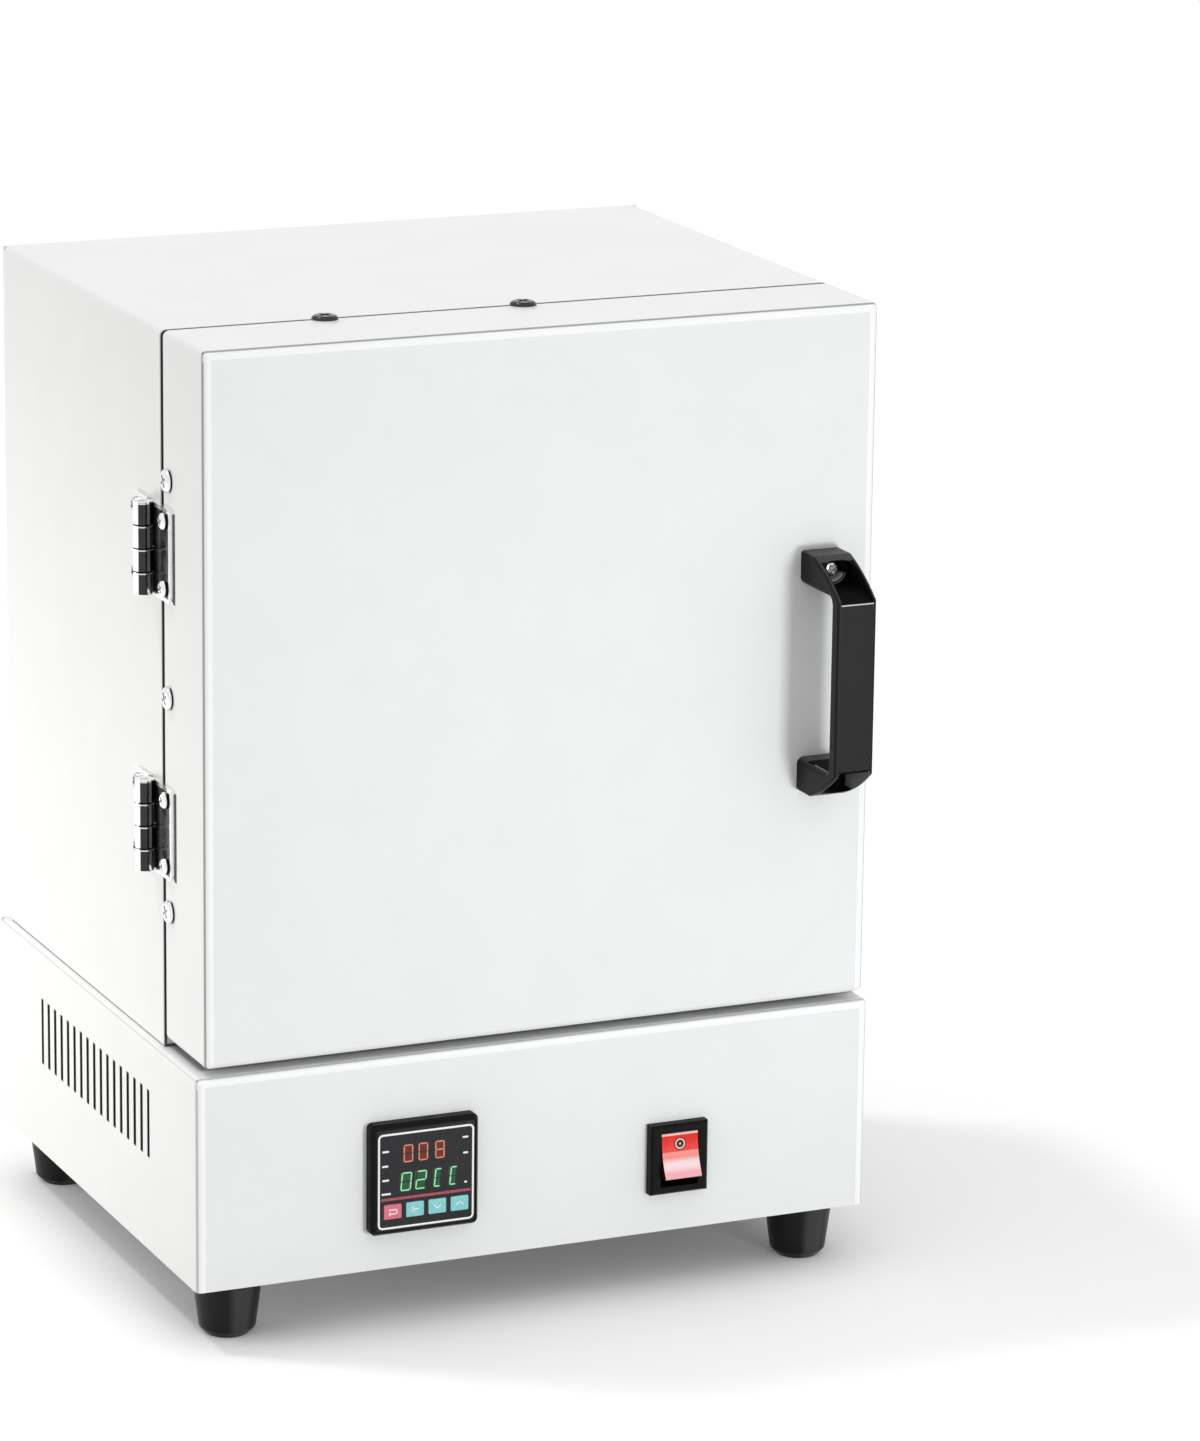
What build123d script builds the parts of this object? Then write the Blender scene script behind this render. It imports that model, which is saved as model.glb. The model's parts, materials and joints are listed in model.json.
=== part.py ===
from build123d import *
import os

# Electric bench kiln with a front door, standing on a base that holds the controls.
# Sizes are in millimetres. While the pieces are drawn, X is 0 at the middle of the casing and
# grows to the right, Y is 0 at the door's front and grows backwards, Z is 0 at the floor.
# Saving moves every piece so that the origin is the middle of the whole kiln's footprint.

# Driving dimensions: casing, door and base
casing_width = 300.0
casing_depth = 200.0
casing_height = 304.0
door_thickness = 46.0
door_gap = 2.5
door_lift = 4.0
door_top_rise = 0.3
base_height = 93.0
base_overhang = 3.3
base_front = 1.5
base_back = 253.5
sheet = 1.2
bend_radius = 2.6
flange_width = 12.0
floor_wall_height = 14.0
floor_vent_size = (60.0, 4.0)
floor_vent_first = (90.0, 90.0)
floor_vent_pitch = 12.0
floor_vent_count = 6

# Driving dimensions: firing chamber and its lining
chamber_width = 160.0
chamber_height = 160.0
chamber_depth = 140.0
rear_wiring_space = 14.6
collar_width = 12.0
plug_clearance = 2.0
plug_depth = 8.0
plug_bevel = 3.0
gasket_inset = 3.0
gasket_clearance = 0.3
fibre_clearance = 0.4
lining_clearance = 0.8
coil_radius = 4.0
coil_runs = 6
coil_pitch = 24.0
coil_run_front = 78.0
coil_run_back = 166.0
coil_bury = 1.0
coil_groove_radius = coil_radius + 0.2
shelf_size = (140.0, 116.0, 10.0)
shelf_bevel = 1.0
probe_radius = 3.0
probe_height = 52.0
probe_reach = 28.0
probe_tail = 3.0
probe_head_size = (22.0, 11.0, 14.0)
probe_wire_hole = (6.0, 2.0, 4.0)
connector_size = (10.0, 8.0, 14.0)
magnet_x_range = (118.0, 140.0)
magnet_height = 34.0
magnet_offset = 60.0
magnet_gap = 0.3

# Driving dimensions: feet
foot_height = 26.0
foot_top_radius = 15.0
foot_bottom_radius = 12.0
foot_inset = 21.0
foot_rim_rise = 3.0
foot_rim_radius = 2.0
foot_screw_seat = 10.0
foot_nut_radius = 4.6
foot_nut_height = 4.0

# Driving dimensions: vents in the base's sides
vent_count = 17
vent_pitch = 8.56
vent_width = 2.2
vent_height = 29.3
vent_first_y = 60.0
vent_middle_z = 82.2

# Driving dimensions: vents in the casing's back
back_vent_count = 9
back_vent_pitch = 14.0
back_vent_width = 3.0
back_vent_height = 36.0
back_vent_inset = 40.0

# Driving dimensions: temperature controller
controller_x = -53.9
controller_z = 67.0
bezel_size = 48.5
bezel_reach = 7.0
bezel_bevel = 1.5
bezel_bevel_depth = 2.6
bezel_corner = 2.5
controller_body = 44.4
controller_cutout = 45.0
controller_depth = 70.0
faceplate_recess = 0.5
faceplate_thickness = 0.8
display_size = (34.0, 22.5, 3.0)
display_z = 71.5
clamp_size = 54.0
clamp_depth = 9.0
key_width = 8.0
key_height = 6.4
key_pitch = 10.05
key_z = 53.3
key_names = ["key_set", "key_left", "key_down", "key_up"]
key_reach = 0.5
key_lip = 0.5
key_lip_setback = 0.1
key_lip_thickness = 1.2
key_clearance = 0.15
key_corner = 0.6
key_rim = 0.2
key_pocket_depth = 2.6

# Driving dimensions: power switch
switch_x = 63.4
switch_z = 59.5
switch_frame_width = 26.6
switch_frame_height = 31.0
switch_frame_reach = 5.0
switch_frame_bevel = 1.0
switch_body_width = 21.6
switch_body_height = 27.6
switch_body_depth = 22.0
switch_mouth_width = 17.6
switch_mouth_height = 24.4
switch_mouth_depth = 15.0
switch_tab_size = (0.8, 8.0, 6.3)
switch_tab_offset = (6.0, 7.0)
rocker_width = 16.8
rocker_pivot_y = 2.2
rocker_half_length = 10.1
rocker_edge_reach = 8.3
rocker_valley_reach = 6.7
rocker_face_sag = 0.35
rocker_shoulder_reach = 1.0
rocker_shoulder_half = 8.6
rocker_back = 3.0
rocker_back_half = 5.0
rocker_rim = 0.7
rocker_tilt = 15.0
trunnion_radius = 1.5
trunnion_play = 0.4
running_clearance = 0.05

# Driving dimensions: power inlet
inlet_x = 100.0
inlet_z = 72.0
inlet_cutout = (28.0, 20.4)
inlet_depth = 24.0
inlet_flange = (50.0, 22.6)
inlet_flange_reach = 2.4
inlet_mouth = (24.4, 16.6, 17.0)
inlet_mouth_corner = 4.0
inlet_screw_offset = 20.0
contact_section = (2.0, 4.0)
contact_spacing = 7.0
contact_rise = 2.0
contact_recess = 6.0
contact_tail = 8.0

# Driving dimensions: ring for the wires between base and casing
grommet_x = 60.0
grommet_hole_radius = 5.5
grommet_bore_radius = 4.2
grommet_lip = 1.5
grommet_lip_thickness = 2.0

# Driving dimensions: relay on its heat sink, and terminal block
sink_middle = (20.0, 150.0)
sink_size = (90.0, 60.0)
sink_fin_height = 20.0
sink_fin_thickness = 2.0
sink_plate = 5.0
sink_fins = 11
relay_size = (58.0, 45.0, 26.0)
relay_corner = 3.0
relay_recess = (11.0, 37.0, 6.0)
block_middle = (-90.0, 160.0)
block_size = (58.0, 22.0, 24.0)
block_pitch = 19.0
block_hole_height = 10.0
block_hole_radius = 3.0
block_well_radius = 3.5

# Driving dimensions: hinges
hinge_axis_x = -155.2
hinge_axis_y = 57.0
hinge_height = 39.2
hinge_middles = {"upper": 331.5, "lower": 213.8}
knuckle_radius = 4.0
knuckle_gap = 0.25
knuckle_count = 4
leaf_thickness = 1.8
leaf_width = 22.5
leaf_corner = 3.0
leaf_relief = 0.4
pin_radius = 1.5
pin_bevel = 0.4
hinge_screw_inset = 6.2
hinge_screw_half_spacing = 14.0

# Driving dimensions: handle
handle_left = 116.4
handle_width = 17.8
handle_bottom = 216.0
handle_top = 320.0
handle_reach = 36.5
handle_foot_depth = 11.5
handle_arm = 14.5
handle_slope = 14.4
handle_bow = 1.3
handle_bar = 8.0
handle_wall = 1.6
handle_outer_rim = 1.2
handle_grip_rim = 3.2
handle_gap_corner = 3.0
handle_recess_base = 12.5
handle_recess_corner = 4.8
handle_ramp_start = 27.0
handle_lip_drop = 1.2
handle_well_radius = 4.6
handle_screw_seat = 9.0
handle_screw_drop = 6.4

# Driving dimensions: screws, as (head radius, head height, shank radius, shank length)
cover_screw = (5.0, 2.3, 2.0, 9.0)
top_screw = (5.7, 2.6, 2.0, 9.0)
leaf_screw = (3.6, 2.0, 1.5, 3.6)
back_screw = (3.5, 2.0, 1.5, 6.0)
handle_screw = (4.0, 2.6, 2.0, 15.0)
foot_screw = (4.5, 3.0, 2.5, 24.0)
inlet_screw = (2.8, 1.7, 1.5, 7.0)
connector_screw = (3.0, 2.0, 1.5, 4.0)
door_side_screw_heights = [179.9, 271.1, 362.3]
door_side_screw_y = 40.5
door_top_screw_places = [-81.1, 6.8]
door_top_screw_y = 42.4
back_screw_side_inset = 7.0
back_screw_row_inset = 8.0
back_screw_low_inset = 20.0
back_screw_middle_offset = 50.0

# Driving dimensions: wires inside
lead_radius = 1.4
probe_lead_radius = 0.9
lead_spacing = 1.8
lead_bend = 5.0
high_lead_bend = 6.0

# How far a cutting tool runs past what it cuts
overshoot = 5.0

# Places worked out from the driving dimensions
left = -casing_width / 2
right = casing_width / 2
base_left = left - base_overhang
base_right = right + base_overhang
base_bottom = foot_height
base_top = base_bottom + base_height
casing_front = door_thickness + door_gap
casing_back = casing_front + casing_depth
casing_bottom = base_top
casing_top = casing_bottom + casing_height
door_bottom = base_top + door_lift
door_top = casing_top + door_top_rise
frame_back = casing_front + sheet
chamber_middle_z = (casing_bottom + casing_top) / 2
chamber_left = -chamber_width / 2
chamber_right = chamber_width / 2
chamber_floor = chamber_middle_z - chamber_height / 2
chamber_roof = chamber_middle_z + chamber_height / 2
chamber_back = frame_back + chamber_depth
lining_left = left + sheet + lining_clearance
lining_right = right - sheet - lining_clearance
lining_top = casing_top - sheet - lining_clearance
lining_back = casing_back - sheet - rear_wiring_space
base_floor_top = base_bottom + sheet
face_y = base_front - bezel_reach + faceplate_recess
case_front = face_y + faceplate_thickness
back_panel_front = base_back - sheet
casing_shell_back = casing_back - sheet
liner_front = door_thickness - sheet
plug_base = chamber_width - 2 * plug_clearance
probe_z = chamber_middle_z + probe_height
switch_front = base_front - switch_frame_reach
knuckle_pitch = hinge_height / knuckle_count
door_leaf_front = hinge_axis_y - leaf_width
casing_leaf_back = hinge_axis_y + leaf_width
handle_middle_x = handle_left + handle_width / 2
handle_middle_z = (handle_bottom + handle_top) / 2
trunnion_reach = switch_body_width / 2 - 2 * trunnion_play
relay_top = base_floor_top + sink_fin_height + sink_plate + relay_size[2]
coil_half_span = coil_pitch * (coil_runs - 1) / 2
coil_x = chamber_width / 2 + coil_bury

# How far the kiln reaches from the drawing's origin, and so where its footprint's middle is
reach_left = hinge_axis_x - knuckle_radius
reach_right = base_right
reach_front = -handle_reach
reach_back = base_back + inlet_flange_reach + inlet_screw[1]
middle_x = (reach_left + reach_right) / 2
middle_y = (reach_front + reach_back) / 2


def save(name, shape):
    """Write one piece in the kiln's own frame."""
    export_step(Pos(-middle_x, -middle_y, 0) * shape, f"parts/{name}.step")


def block(x_range, y_range, z_range):
    """A box given by its lowest and highest place along each axis."""
    ranges = (x_range, y_range, z_range)
    sizes = [high - low for low, high in ranges]
    middles = [(low + high) / 2 for low, high in ranges]
    return Pos(*middles) * Box(*sizes)


def around(middle, size):
    """The range of the given size around a middle."""
    return (middle - size / 2, middle + size / 2)


def rod(start, direction, radius, length):
    """A round bar that begins at start and runs along direction."""
    bar = Cylinder(radius, length, align=(Align.CENTER, Align.CENTER, Align.MIN))
    return Plane(origin=start, z_dir=direction) * bar


def softened_block(x_range, y_range, z_range, radius, open_sides):
    """A block with rounded edges, apart from the edges that lie on its open sides."""
    solid = block(x_range, y_range, z_range)

    def is_closed(edge):
        middle = edge.center()
        return all(abs(getattr(middle, axis) - place) > 0.01 for axis, place in open_sides)

    return fillet([edge for edge in solid.edges() if is_closed(edge)], radius)


def screw(place, outward, size):
    """A cross-head screw: its domed head stands on place, its shank runs into the part."""
    head_radius, head_height, shank_radius, shank_length = size
    head = Cylinder(head_radius, head_height, align=(Align.CENTER, Align.CENTER, Align.MIN))
    head = fillet(head.edges().sort_by(Axis.Z)[-1], head_height * 0.75)
    shank = Pos(0, 0, -shank_length / 2) * Cylinder(shank_radius, shank_length)
    cross_length = head_radius * 1.1
    cross_width = head_radius * 0.24
    cross = Box(cross_length, cross_width, head_height) + Box(cross_width, cross_length, head_height)
    cross = Pos(0, 0, head_height * 0.95) * Rot(0, 0, 30) * cross
    return Plane(origin=place, z_dir=outward) * (head + shank - cross)


def screw_holes(places, direction, size):
    """Bars that cut a screw's close-fitting holes through whatever they meet."""
    reach = size[3] + 1
    starts = [Vector(*place) - Vector(*direction) * reach for place in places]
    return [rod(start, direction, size[2], 2 * reach) for start in starts]


def cut(solid, tools):
    """Take every tool away from a solid, one after another."""
    for tool in tools:
        solid = solid - tool
    return solid


def round_lead(points, radius, bend):
    """A wire of round section that follows points, with an equal bend at every corner."""
    route = FilletPolyline(*points, radius=bend)
    start = Plane(origin=route @ 0, z_dir=route % 0)
    return sweep(start * Circle(radius), path=route)


# Base

foot_middles = [
    (x, y)
    for y in (base_front + foot_inset, base_back - foot_inset)
    for x in (base_left + foot_inset, base_right - foot_inset)
]
grommet_y = lining_back + rear_wiring_space / 2
inlet_screw_places = [
    (inlet_x + side * inlet_screw_offset, base_back + inlet_flange_reach, inlet_z)
    for side in (-1, 1)
]
base_back_screw_columns = (
    base_left + back_screw_side_inset, -back_screw_middle_offset,
    back_screw_middle_offset, base_right - back_screw_side_inset,
)
base_back_screw_places = [
    (x, base_back, z)
    for x in base_back_screw_columns
    for z in (base_bottom + back_screw_row_inset, base_top - back_screw_row_inset)
]


def make_vents(side_x):
    """The row of upright slots in one side of the base."""
    slot = SlotOverall(vent_height, vent_width, rotation=90)
    slots = []
    for index in range(vent_count):
        y = vent_first_y + index * vent_pitch
        wall = Plane(origin=(side_x, y, vent_middle_z), x_dir=(0, 1, 0), z_dir=(1, 0, 0))
        slots.append(extrude(wall * slot, amount=2 * sheet, both=True))
    return slots


def make_base_shell():
    """Folded cover: top, front and both sides, with a flange behind for the back panel."""
    open_sides = [("Z", base_bottom), ("Y", back_panel_front)]
    shell = softened_block(
        (base_left, base_right), (base_front, back_panel_front), (base_bottom, base_top),
        bend_radius, open_sides,
    )
    inside_bottom = base_bottom - overshoot
    flange_front = back_panel_front - sheet
    shell = shell - softened_block(
        (base_left + sheet, base_right - sheet), (base_front + sheet, flange_front),
        (inside_bottom, base_top - sheet),
        bend_radius - sheet, [("Z", inside_bottom), ("Y", flange_front)],
    )
    shell = shell - block(
        (base_left + flange_width, base_right - flange_width),
        (flange_front - overshoot, base_back),
        (inside_bottom, base_top - flange_width),
    )
    shell = cut(shell, make_vents(base_left) + make_vents(base_right))
    front_range = (base_front - overshoot, base_front + overshoot)
    controller_hole = block(
        around(controller_x, controller_cutout), front_range,
        around(controller_z, controller_cutout),
    )
    switch_hole = block(
        around(switch_x, switch_body_width), front_range, around(switch_z, switch_body_height)
    )
    grommet_bottom = (grommet_x, grommet_y, base_top - overshoot)
    grommet_hole = rod(grommet_bottom, (0, 0, 1), grommet_hole_radius, 2 * overshoot)
    shell = cut(shell, [controller_hole, switch_hole, grommet_hole])
    return cut(shell, screw_holes(base_back_screw_places, (0, 1, 0), back_screw))


def make_base_floor():
    """Floor pan of the base: a sheet with a low wall turned up on every side."""
    x_range = (base_left + sheet, base_right - sheet)
    y_range = (base_front + sheet, back_panel_front - sheet)
    pan = block(x_range, y_range, (base_bottom, base_bottom + floor_wall_height))
    pan = fillet(pan.edges().filter_by(Axis.Z), bend_radius - sheet)
    pan = pan - block(
        (x_range[0] + sheet, x_range[1] - sheet), (y_range[0] + sheet, y_range[1] - sheet),
        (base_floor_top, base_bottom + floor_wall_height + overshoot),
    )
    places = [(x, y, base_bottom) for x, y in foot_middles]
    pan = cut(pan, screw_holes(places, (0, 0, 1), foot_screw))
    pan = cut(pan, screw_holes(base_back_screw_places, (0, 1, 0), back_screw))
    slot = extrude(SlotOverall(*floor_vent_size), amount=overshoot, both=True)
    first_x, first_y = floor_vent_first
    vents = [
        Pos(first_x, first_y + row * floor_vent_pitch, base_bottom) * slot
        for row in range(floor_vent_count)
    ]
    return cut(pan, vents)


def make_base_back_panel():
    """Flat sheet that closes the base behind, with the hole for the power inlet."""
    panel = block((base_left, base_right), (back_panel_front, base_back), (base_bottom, base_top))
    around_panel = (back_panel_front - overshoot, base_back + overshoot)
    inlet_hole = block(
        around(inlet_x, inlet_cutout[0]), around_panel, around(inlet_z, inlet_cutout[1])
    )
    panel = cut(panel, [inlet_hole])
    panel = cut(panel, screw_holes(inlet_screw_places, (0, 1, 0), inlet_screw))
    return cut(panel, screw_holes(base_back_screw_places, (0, 1, 0), back_screw))


def make_feet():
    """Four tapered feet with a rounded lower rim and a sunk hole for the screw."""
    profile = Polyline(
        (0, 0), (foot_bottom_radius - foot_rim_rise, 0), (foot_bottom_radius, foot_rim_rise),
        (foot_top_radius, foot_height), (0, foot_height), (0, 0),
    )
    face = make_face(Plane.XZ * profile)
    foot = revolve(face, Axis.Z)
    lower_rim = [edge for edge in foot.edges() if abs(edge.center().Z - foot_rim_rise) < 0.1]
    foot = fillet(lower_rim, foot_rim_radius)
    well_radius = foot_screw[0] + 1.0
    foot = foot - rod((0, 0, 0), (0, 0, 1), well_radius, foot_screw_seat)
    foot = foot - rod((0, 0, 0), (0, 0, 1), foot_screw[2], foot_height)
    return Compound([Pos(x, y, 0) * foot for x, y in foot_middles])


def make_foot_screws():
    """A screw up through each foot, with the nut that holds it on the floor pan."""
    solids = []
    nut = extrude(
        RegularPolygon(foot_nut_radius, 6) - Circle(foot_screw[2]), amount=foot_nut_height
    )
    for x, y in foot_middles:
        solids.append(screw((x, y, foot_screw_seat), (0, 0, -1), foot_screw))
        solids.append(Pos(x, y, base_floor_top) * nut)
    return Compound(solids)


def make_power_inlet():
    """Recessed mains inlet with a flange, a deep mouth and holes for three contacts."""
    flange = block(
        around(inlet_x, inlet_flange[0]), (base_back, base_back + inlet_flange_reach),
        around(inlet_z, inlet_flange[1]),
    )
    body = block(
        around(inlet_x, inlet_cutout[0]), (base_back - inlet_depth, base_back),
        around(inlet_z, inlet_cutout[1]),
    )
    width, height, depth = inlet_mouth
    mouth_back = base_back + inlet_flange_reach
    mouth = block(
        around(inlet_x, width), (mouth_back - depth, mouth_back + overshoot),
        around(inlet_z, height),
    )
    upper = [edge for edge in mouth.edges().filter_by(Axis.Y) if edge.center().Z > inlet_z]
    mouth = chamfer(upper, inlet_mouth_corner)
    inlet = flange + body - mouth
    inlet = cut(inlet, inlet_contact_solids())
    return cut(inlet, screw_holes(inlet_screw_places, (0, 1, 0), inlet_screw))


def inlet_contact_solids():
    """The three flat contacts: live, neutral and earth."""
    front = base_back - inlet_depth - contact_tail
    tip = base_back + inlet_flange_reach - contact_recess
    width, height = contact_section
    places = [(0, contact_rise), (-contact_spacing, -contact_rise), (contact_spacing, -contact_rise)]
    return [
        block(around(inlet_x + x, width), (front, tip), around(inlet_z + z, height))
        for x, z in places
    ]


def make_wire_grommet():
    """Ring that lines the hole where the wires pass from the base into the casing."""
    upright = (0, 0, 1)
    sheet_bottom = base_top - sheet
    ring_bottom = sheet_bottom - grommet_lip_thickness
    ring_height = sheet + 2 * grommet_lip_thickness
    outer_radius = grommet_hole_radius + grommet_lip
    ring = rod((grommet_x, grommet_y, ring_bottom), upright, outer_radius, ring_height)
    ring = ring - rod((grommet_x, grommet_y, sheet_bottom), upright, outer_radius, sheet)
    core = rod((grommet_x, grommet_y, ring_bottom), upright, grommet_hole_radius, ring_height)
    bore = rod((grommet_x, grommet_y, ring_bottom), upright, grommet_bore_radius, ring_height)
    return ring + core - bore


# Temperature controller

def key_middle(index):
    """The middle of one key along the row."""
    return controller_x + (index - (len(key_names) - 1) / 2) * key_pitch


def make_controller_bezel():
    """Square frame round the controller's face, bevelled all round."""
    frame = block(
        around(controller_x, bezel_size), (base_front - bezel_reach, base_front),
        around(controller_z, bezel_size),
    )
    frame = fillet(frame.edges().filter_by(Axis.Y), bezel_corner)
    front_face = frame.faces().sort_by(Axis.Y)[0]
    frame = chamfer(
        front_face.edges(), bezel_bevel, length2=bezel_bevel_depth, reference=front_face
    )
    return frame - block(
        around(controller_x, controller_body),
        (base_front - bezel_reach - overshoot, base_front + overshoot),
        around(controller_z, controller_body),
    )


def make_controller_faceplate():
    """Tinted face with a square opening for each key."""
    plate = block(
        around(controller_x, controller_body), (face_y, case_front),
        around(controller_z, controller_body),
    )
    for index in range(len(key_names)):
        plate = plate - block(
            around(key_middle(index), key_width + 2 * key_clearance),
            (face_y - overshoot, case_front + overshoot),
            around(key_z, key_height + 2 * key_clearance),
        )
    return plate


def make_controller_case():
    """Box that holds the controller's works, with pockets for the display and the keys."""
    case = block(
        around(controller_x, controller_body), (case_front, base_front + controller_depth),
        around(controller_z, controller_body),
    )
    row_width = len(key_names) * key_pitch
    pocket_height = key_height + 2 * key_lip + 2 * key_clearance
    pocket = block(
        around(controller_x, row_width), (case_front - overshoot, case_front + key_pocket_depth),
        around(key_z, pocket_height),
    )
    width, height, depth = display_size
    display_pocket = block(
        around(controller_x, width), (case_front - overshoot, case_front + depth),
        around(display_z, height),
    )
    return cut(case, [pocket, display_pocket])


def make_display_module():
    """Block that carries both rows of figures, in its pocket behind the tinted face."""
    width, height, depth = display_size
    return block(
        around(controller_x, width), (case_front, case_front + depth), around(display_z, height)
    )


def make_controller_clamp():
    """Square ring behind the panel that pulls the controller tight."""
    y_range = (base_front + sheet, base_front + sheet + clamp_depth)
    ring = block(around(controller_x, clamp_size), y_range, around(controller_z, clamp_size))
    return ring - block(
        around(controller_x, controller_body), (y_range[0] - overshoot, y_range[1] + overshoot),
        around(controller_z, controller_body),
    )


def make_key(index):
    """One key, with a softened front edge and a lip that keeps it behind the face."""
    lip_front = case_front + key_lip_setback
    cap = block(
        around(key_middle(index), key_width), (face_y - key_reach, lip_front),
        around(key_z, key_height),
    )
    cap = fillet(cap.edges().filter_by(Axis.Y), key_corner)
    front = cap.faces().sort_by(Axis.Y)[0]
    cap = fillet(front.edges(), key_rim)
    lip = block(
        around(key_middle(index), key_width + 2 * key_lip),
        (lip_front, lip_front + key_lip_thickness), around(key_z, key_height + 2 * key_lip),
    )
    return cap + lip


# Power switch


def make_switch_housing():
    """Switch body behind the panel and the bevelled frame in front of it, in one piece."""
    frame = block(
        around(switch_x, switch_frame_width), (switch_front, base_front),
        around(switch_z, switch_frame_height),
    )
    front_face = frame.faces().sort_by(Axis.Y)[0]
    frame = chamfer(front_face.edges(), switch_frame_bevel)
    body = block(
        around(switch_x, switch_body_width), (base_front, base_front + switch_body_depth),
        around(switch_z, switch_body_height),
    )
    mouth = block(
        around(switch_x, switch_mouth_width),
        (switch_front - overshoot, base_front + switch_mouth_depth),
        around(switch_z, switch_mouth_height),
    )
    housing = frame + body - mouth
    bore_reach = trunnion_reach + trunnion_play
    bore_start = (switch_x - bore_reach, rocker_pivot_y, switch_z)
    bore = rod(bore_start, (1, 0, 0), trunnion_radius + running_clearance, 2 * bore_reach)
    return housing - bore


def make_switch_rocker():
    """Rocker with two hollow faces that meet in a valley, its upper half pressed in."""
    back_of_half = [
        (-rocker_edge_reach, rocker_half_length), (-rocker_shoulder_reach, rocker_shoulder_half),
        (rocker_back, rocker_back_half),
    ]
    back = Polyline(*back_of_half, *[(y, -z) for y, z in reversed(back_of_half)])
    face_middle_y = rocker_face_sag - (rocker_edge_reach + rocker_valley_reach) / 2
    faces = [
        ThreePointArc(
            (-rocker_valley_reach, 0), (face_middle_y, end * rocker_half_length / 2),
            (-rocker_edge_reach, end * rocker_half_length),
        )
        for end in (-1, 1)
    ]
    outline = back + faces
    side = Plane(origin=(0, 0, 0), x_dir=(0, 1, 0), z_dir=(1, 0, 0))
    rocker = extrude(side * make_face(outline), amount=rocker_width / 2, both=True)
    rims = [
        edge for edge in rocker.edges().filter_by(Axis.X)
        if abs(edge.center().Y + rocker_edge_reach) < 0.01
    ]
    rocker = fillet(rims, rocker_rim)
    trunnions = rod((-trunnion_reach, 0, 0), (1, 0, 0), trunnion_radius, 2 * trunnion_reach)
    pivot = Pos(switch_x, rocker_pivot_y, switch_z)
    return pivot * Rot(-rocker_tilt, 0, 0) * (rocker + trunnions)


def make_switch_terminals():
    """Four flat tabs behind the switch."""
    back = base_front + switch_body_depth
    thickness, length, height = switch_tab_size
    x_offset, z_offset = switch_tab_offset
    return Compound([
        block(around(switch_x + x, thickness), (back, back + length), around(switch_z + z, height))
        for x in (-x_offset, x_offset) for z in (-z_offset, z_offset)
    ])


# Parts on the base's floor


def make_relay_heat_sink():
    """Finned aluminium block that stands on its fins."""
    x, y = sink_middle
    width, depth = sink_size
    plate_bottom = base_floor_top + sink_fin_height
    sink = block(around(x, width), around(y, depth), (plate_bottom, plate_bottom + sink_plate))
    step = (width - sink_fin_thickness) / (sink_fins - 1)
    for index in range(sink_fins):
        fin_range = around(x + (index - (sink_fins - 1) / 2) * step, sink_fin_thickness)
        sink = sink + block(fin_range, around(y, depth), (base_floor_top, plate_bottom))
    return sink


def make_solid_state_relay():
    """Relay with a terminal recess at each end."""
    x, y = sink_middle
    width, depth, height = relay_size
    relay = block(around(x, width), around(y, depth), (relay_top - height, relay_top))
    relay = fillet(relay.edges().filter_by(Axis.Z), relay_corner)
    recess_width, recess_length, recess_depth = relay_recess
    for side in (-1, 1):
        relay = relay - block(
            around(x + side * width / 2, 2 * recess_width), around(y, recess_length),
            (relay_top - recess_depth, relay_top + overshoot),
        )
    return relay


def make_terminal_block():
    """Ceramic block with three wire holes, each with a screw well above it."""
    x, y = block_middle
    width, depth, height = block_size
    solid = block(around(x, width), around(y, depth), (base_floor_top, base_floor_top + height))
    hole_z = base_floor_top + block_hole_height
    for index in (-1, 0, 1):
        hole_x = x + index * block_pitch
        solid = solid - rod((hole_x, y - depth, hole_z), (0, 1, 0), block_hole_radius, 2 * depth)
        solid = solid - rod((hole_x, y, hole_z), (0, 0, 1), block_well_radius, height)
    return solid


# Casing

casing_back_screw_top = casing_top - back_screw_row_inset
casing_back_screw_places = [
    (x, casing_back, z)
    for x in (left + back_screw_side_inset, right - back_screw_side_inset)
    for z in (casing_bottom + back_screw_low_inset, chamber_middle_z, casing_back_screw_top)
] + [
    (x, casing_back, casing_back_screw_top)
    for x in (-back_screw_middle_offset, back_screw_middle_offset)
]


def make_casing_shell():
    """Folded wrapper: top and both sides, with flanges below and behind."""
    shell = softened_block(
        (left, right), (casing_front, casing_shell_back), (casing_bottom, casing_top),
        bend_radius, [("Z", casing_bottom), ("Y", casing_front), ("Y", casing_shell_back)],
    )
    flange_front = casing_shell_back - sheet
    inside_front = casing_front - overshoot
    inside = softened_block(
        (left + sheet, right - sheet), (inside_front, flange_front),
        (casing_bottom + sheet, casing_top - sheet),
        bend_radius - sheet,
        [("Z", casing_bottom + sheet), ("Y", inside_front), ("Y", flange_front)],
    )
    below = block(
        (left + flange_width, right - flange_width), (inside_front, casing_back),
        (casing_bottom - overshoot, chamber_middle_z),
    )
    behind = block(
        (left + flange_width, right - flange_width), (flange_front - overshoot, casing_back),
        (casing_bottom - overshoot, casing_top - flange_width),
    )
    shell = cut(shell, [inside, below, behind])
    shell = cut(shell, screw_holes(casing_leaf_screw_places(), (-1, 0, 0), leaf_screw))
    return cut(shell, screw_holes(casing_back_screw_places, (0, 1, 0), back_screw))


def make_casing_front_frame():
    """Sheet round the chamber's mouth, with a window that shows the lining's collar."""
    frame = block(
        (left + sheet, right - sheet), (casing_front, frame_back),
        (casing_bottom + sheet, casing_top - bend_radius),
    )
    window = block(
        around(0, chamber_width + 2 * collar_width),
        (casing_front - overshoot, frame_back + overshoot),
        around(chamber_middle_z, chamber_height + 2 * collar_width),
    )
    return frame - window


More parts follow.
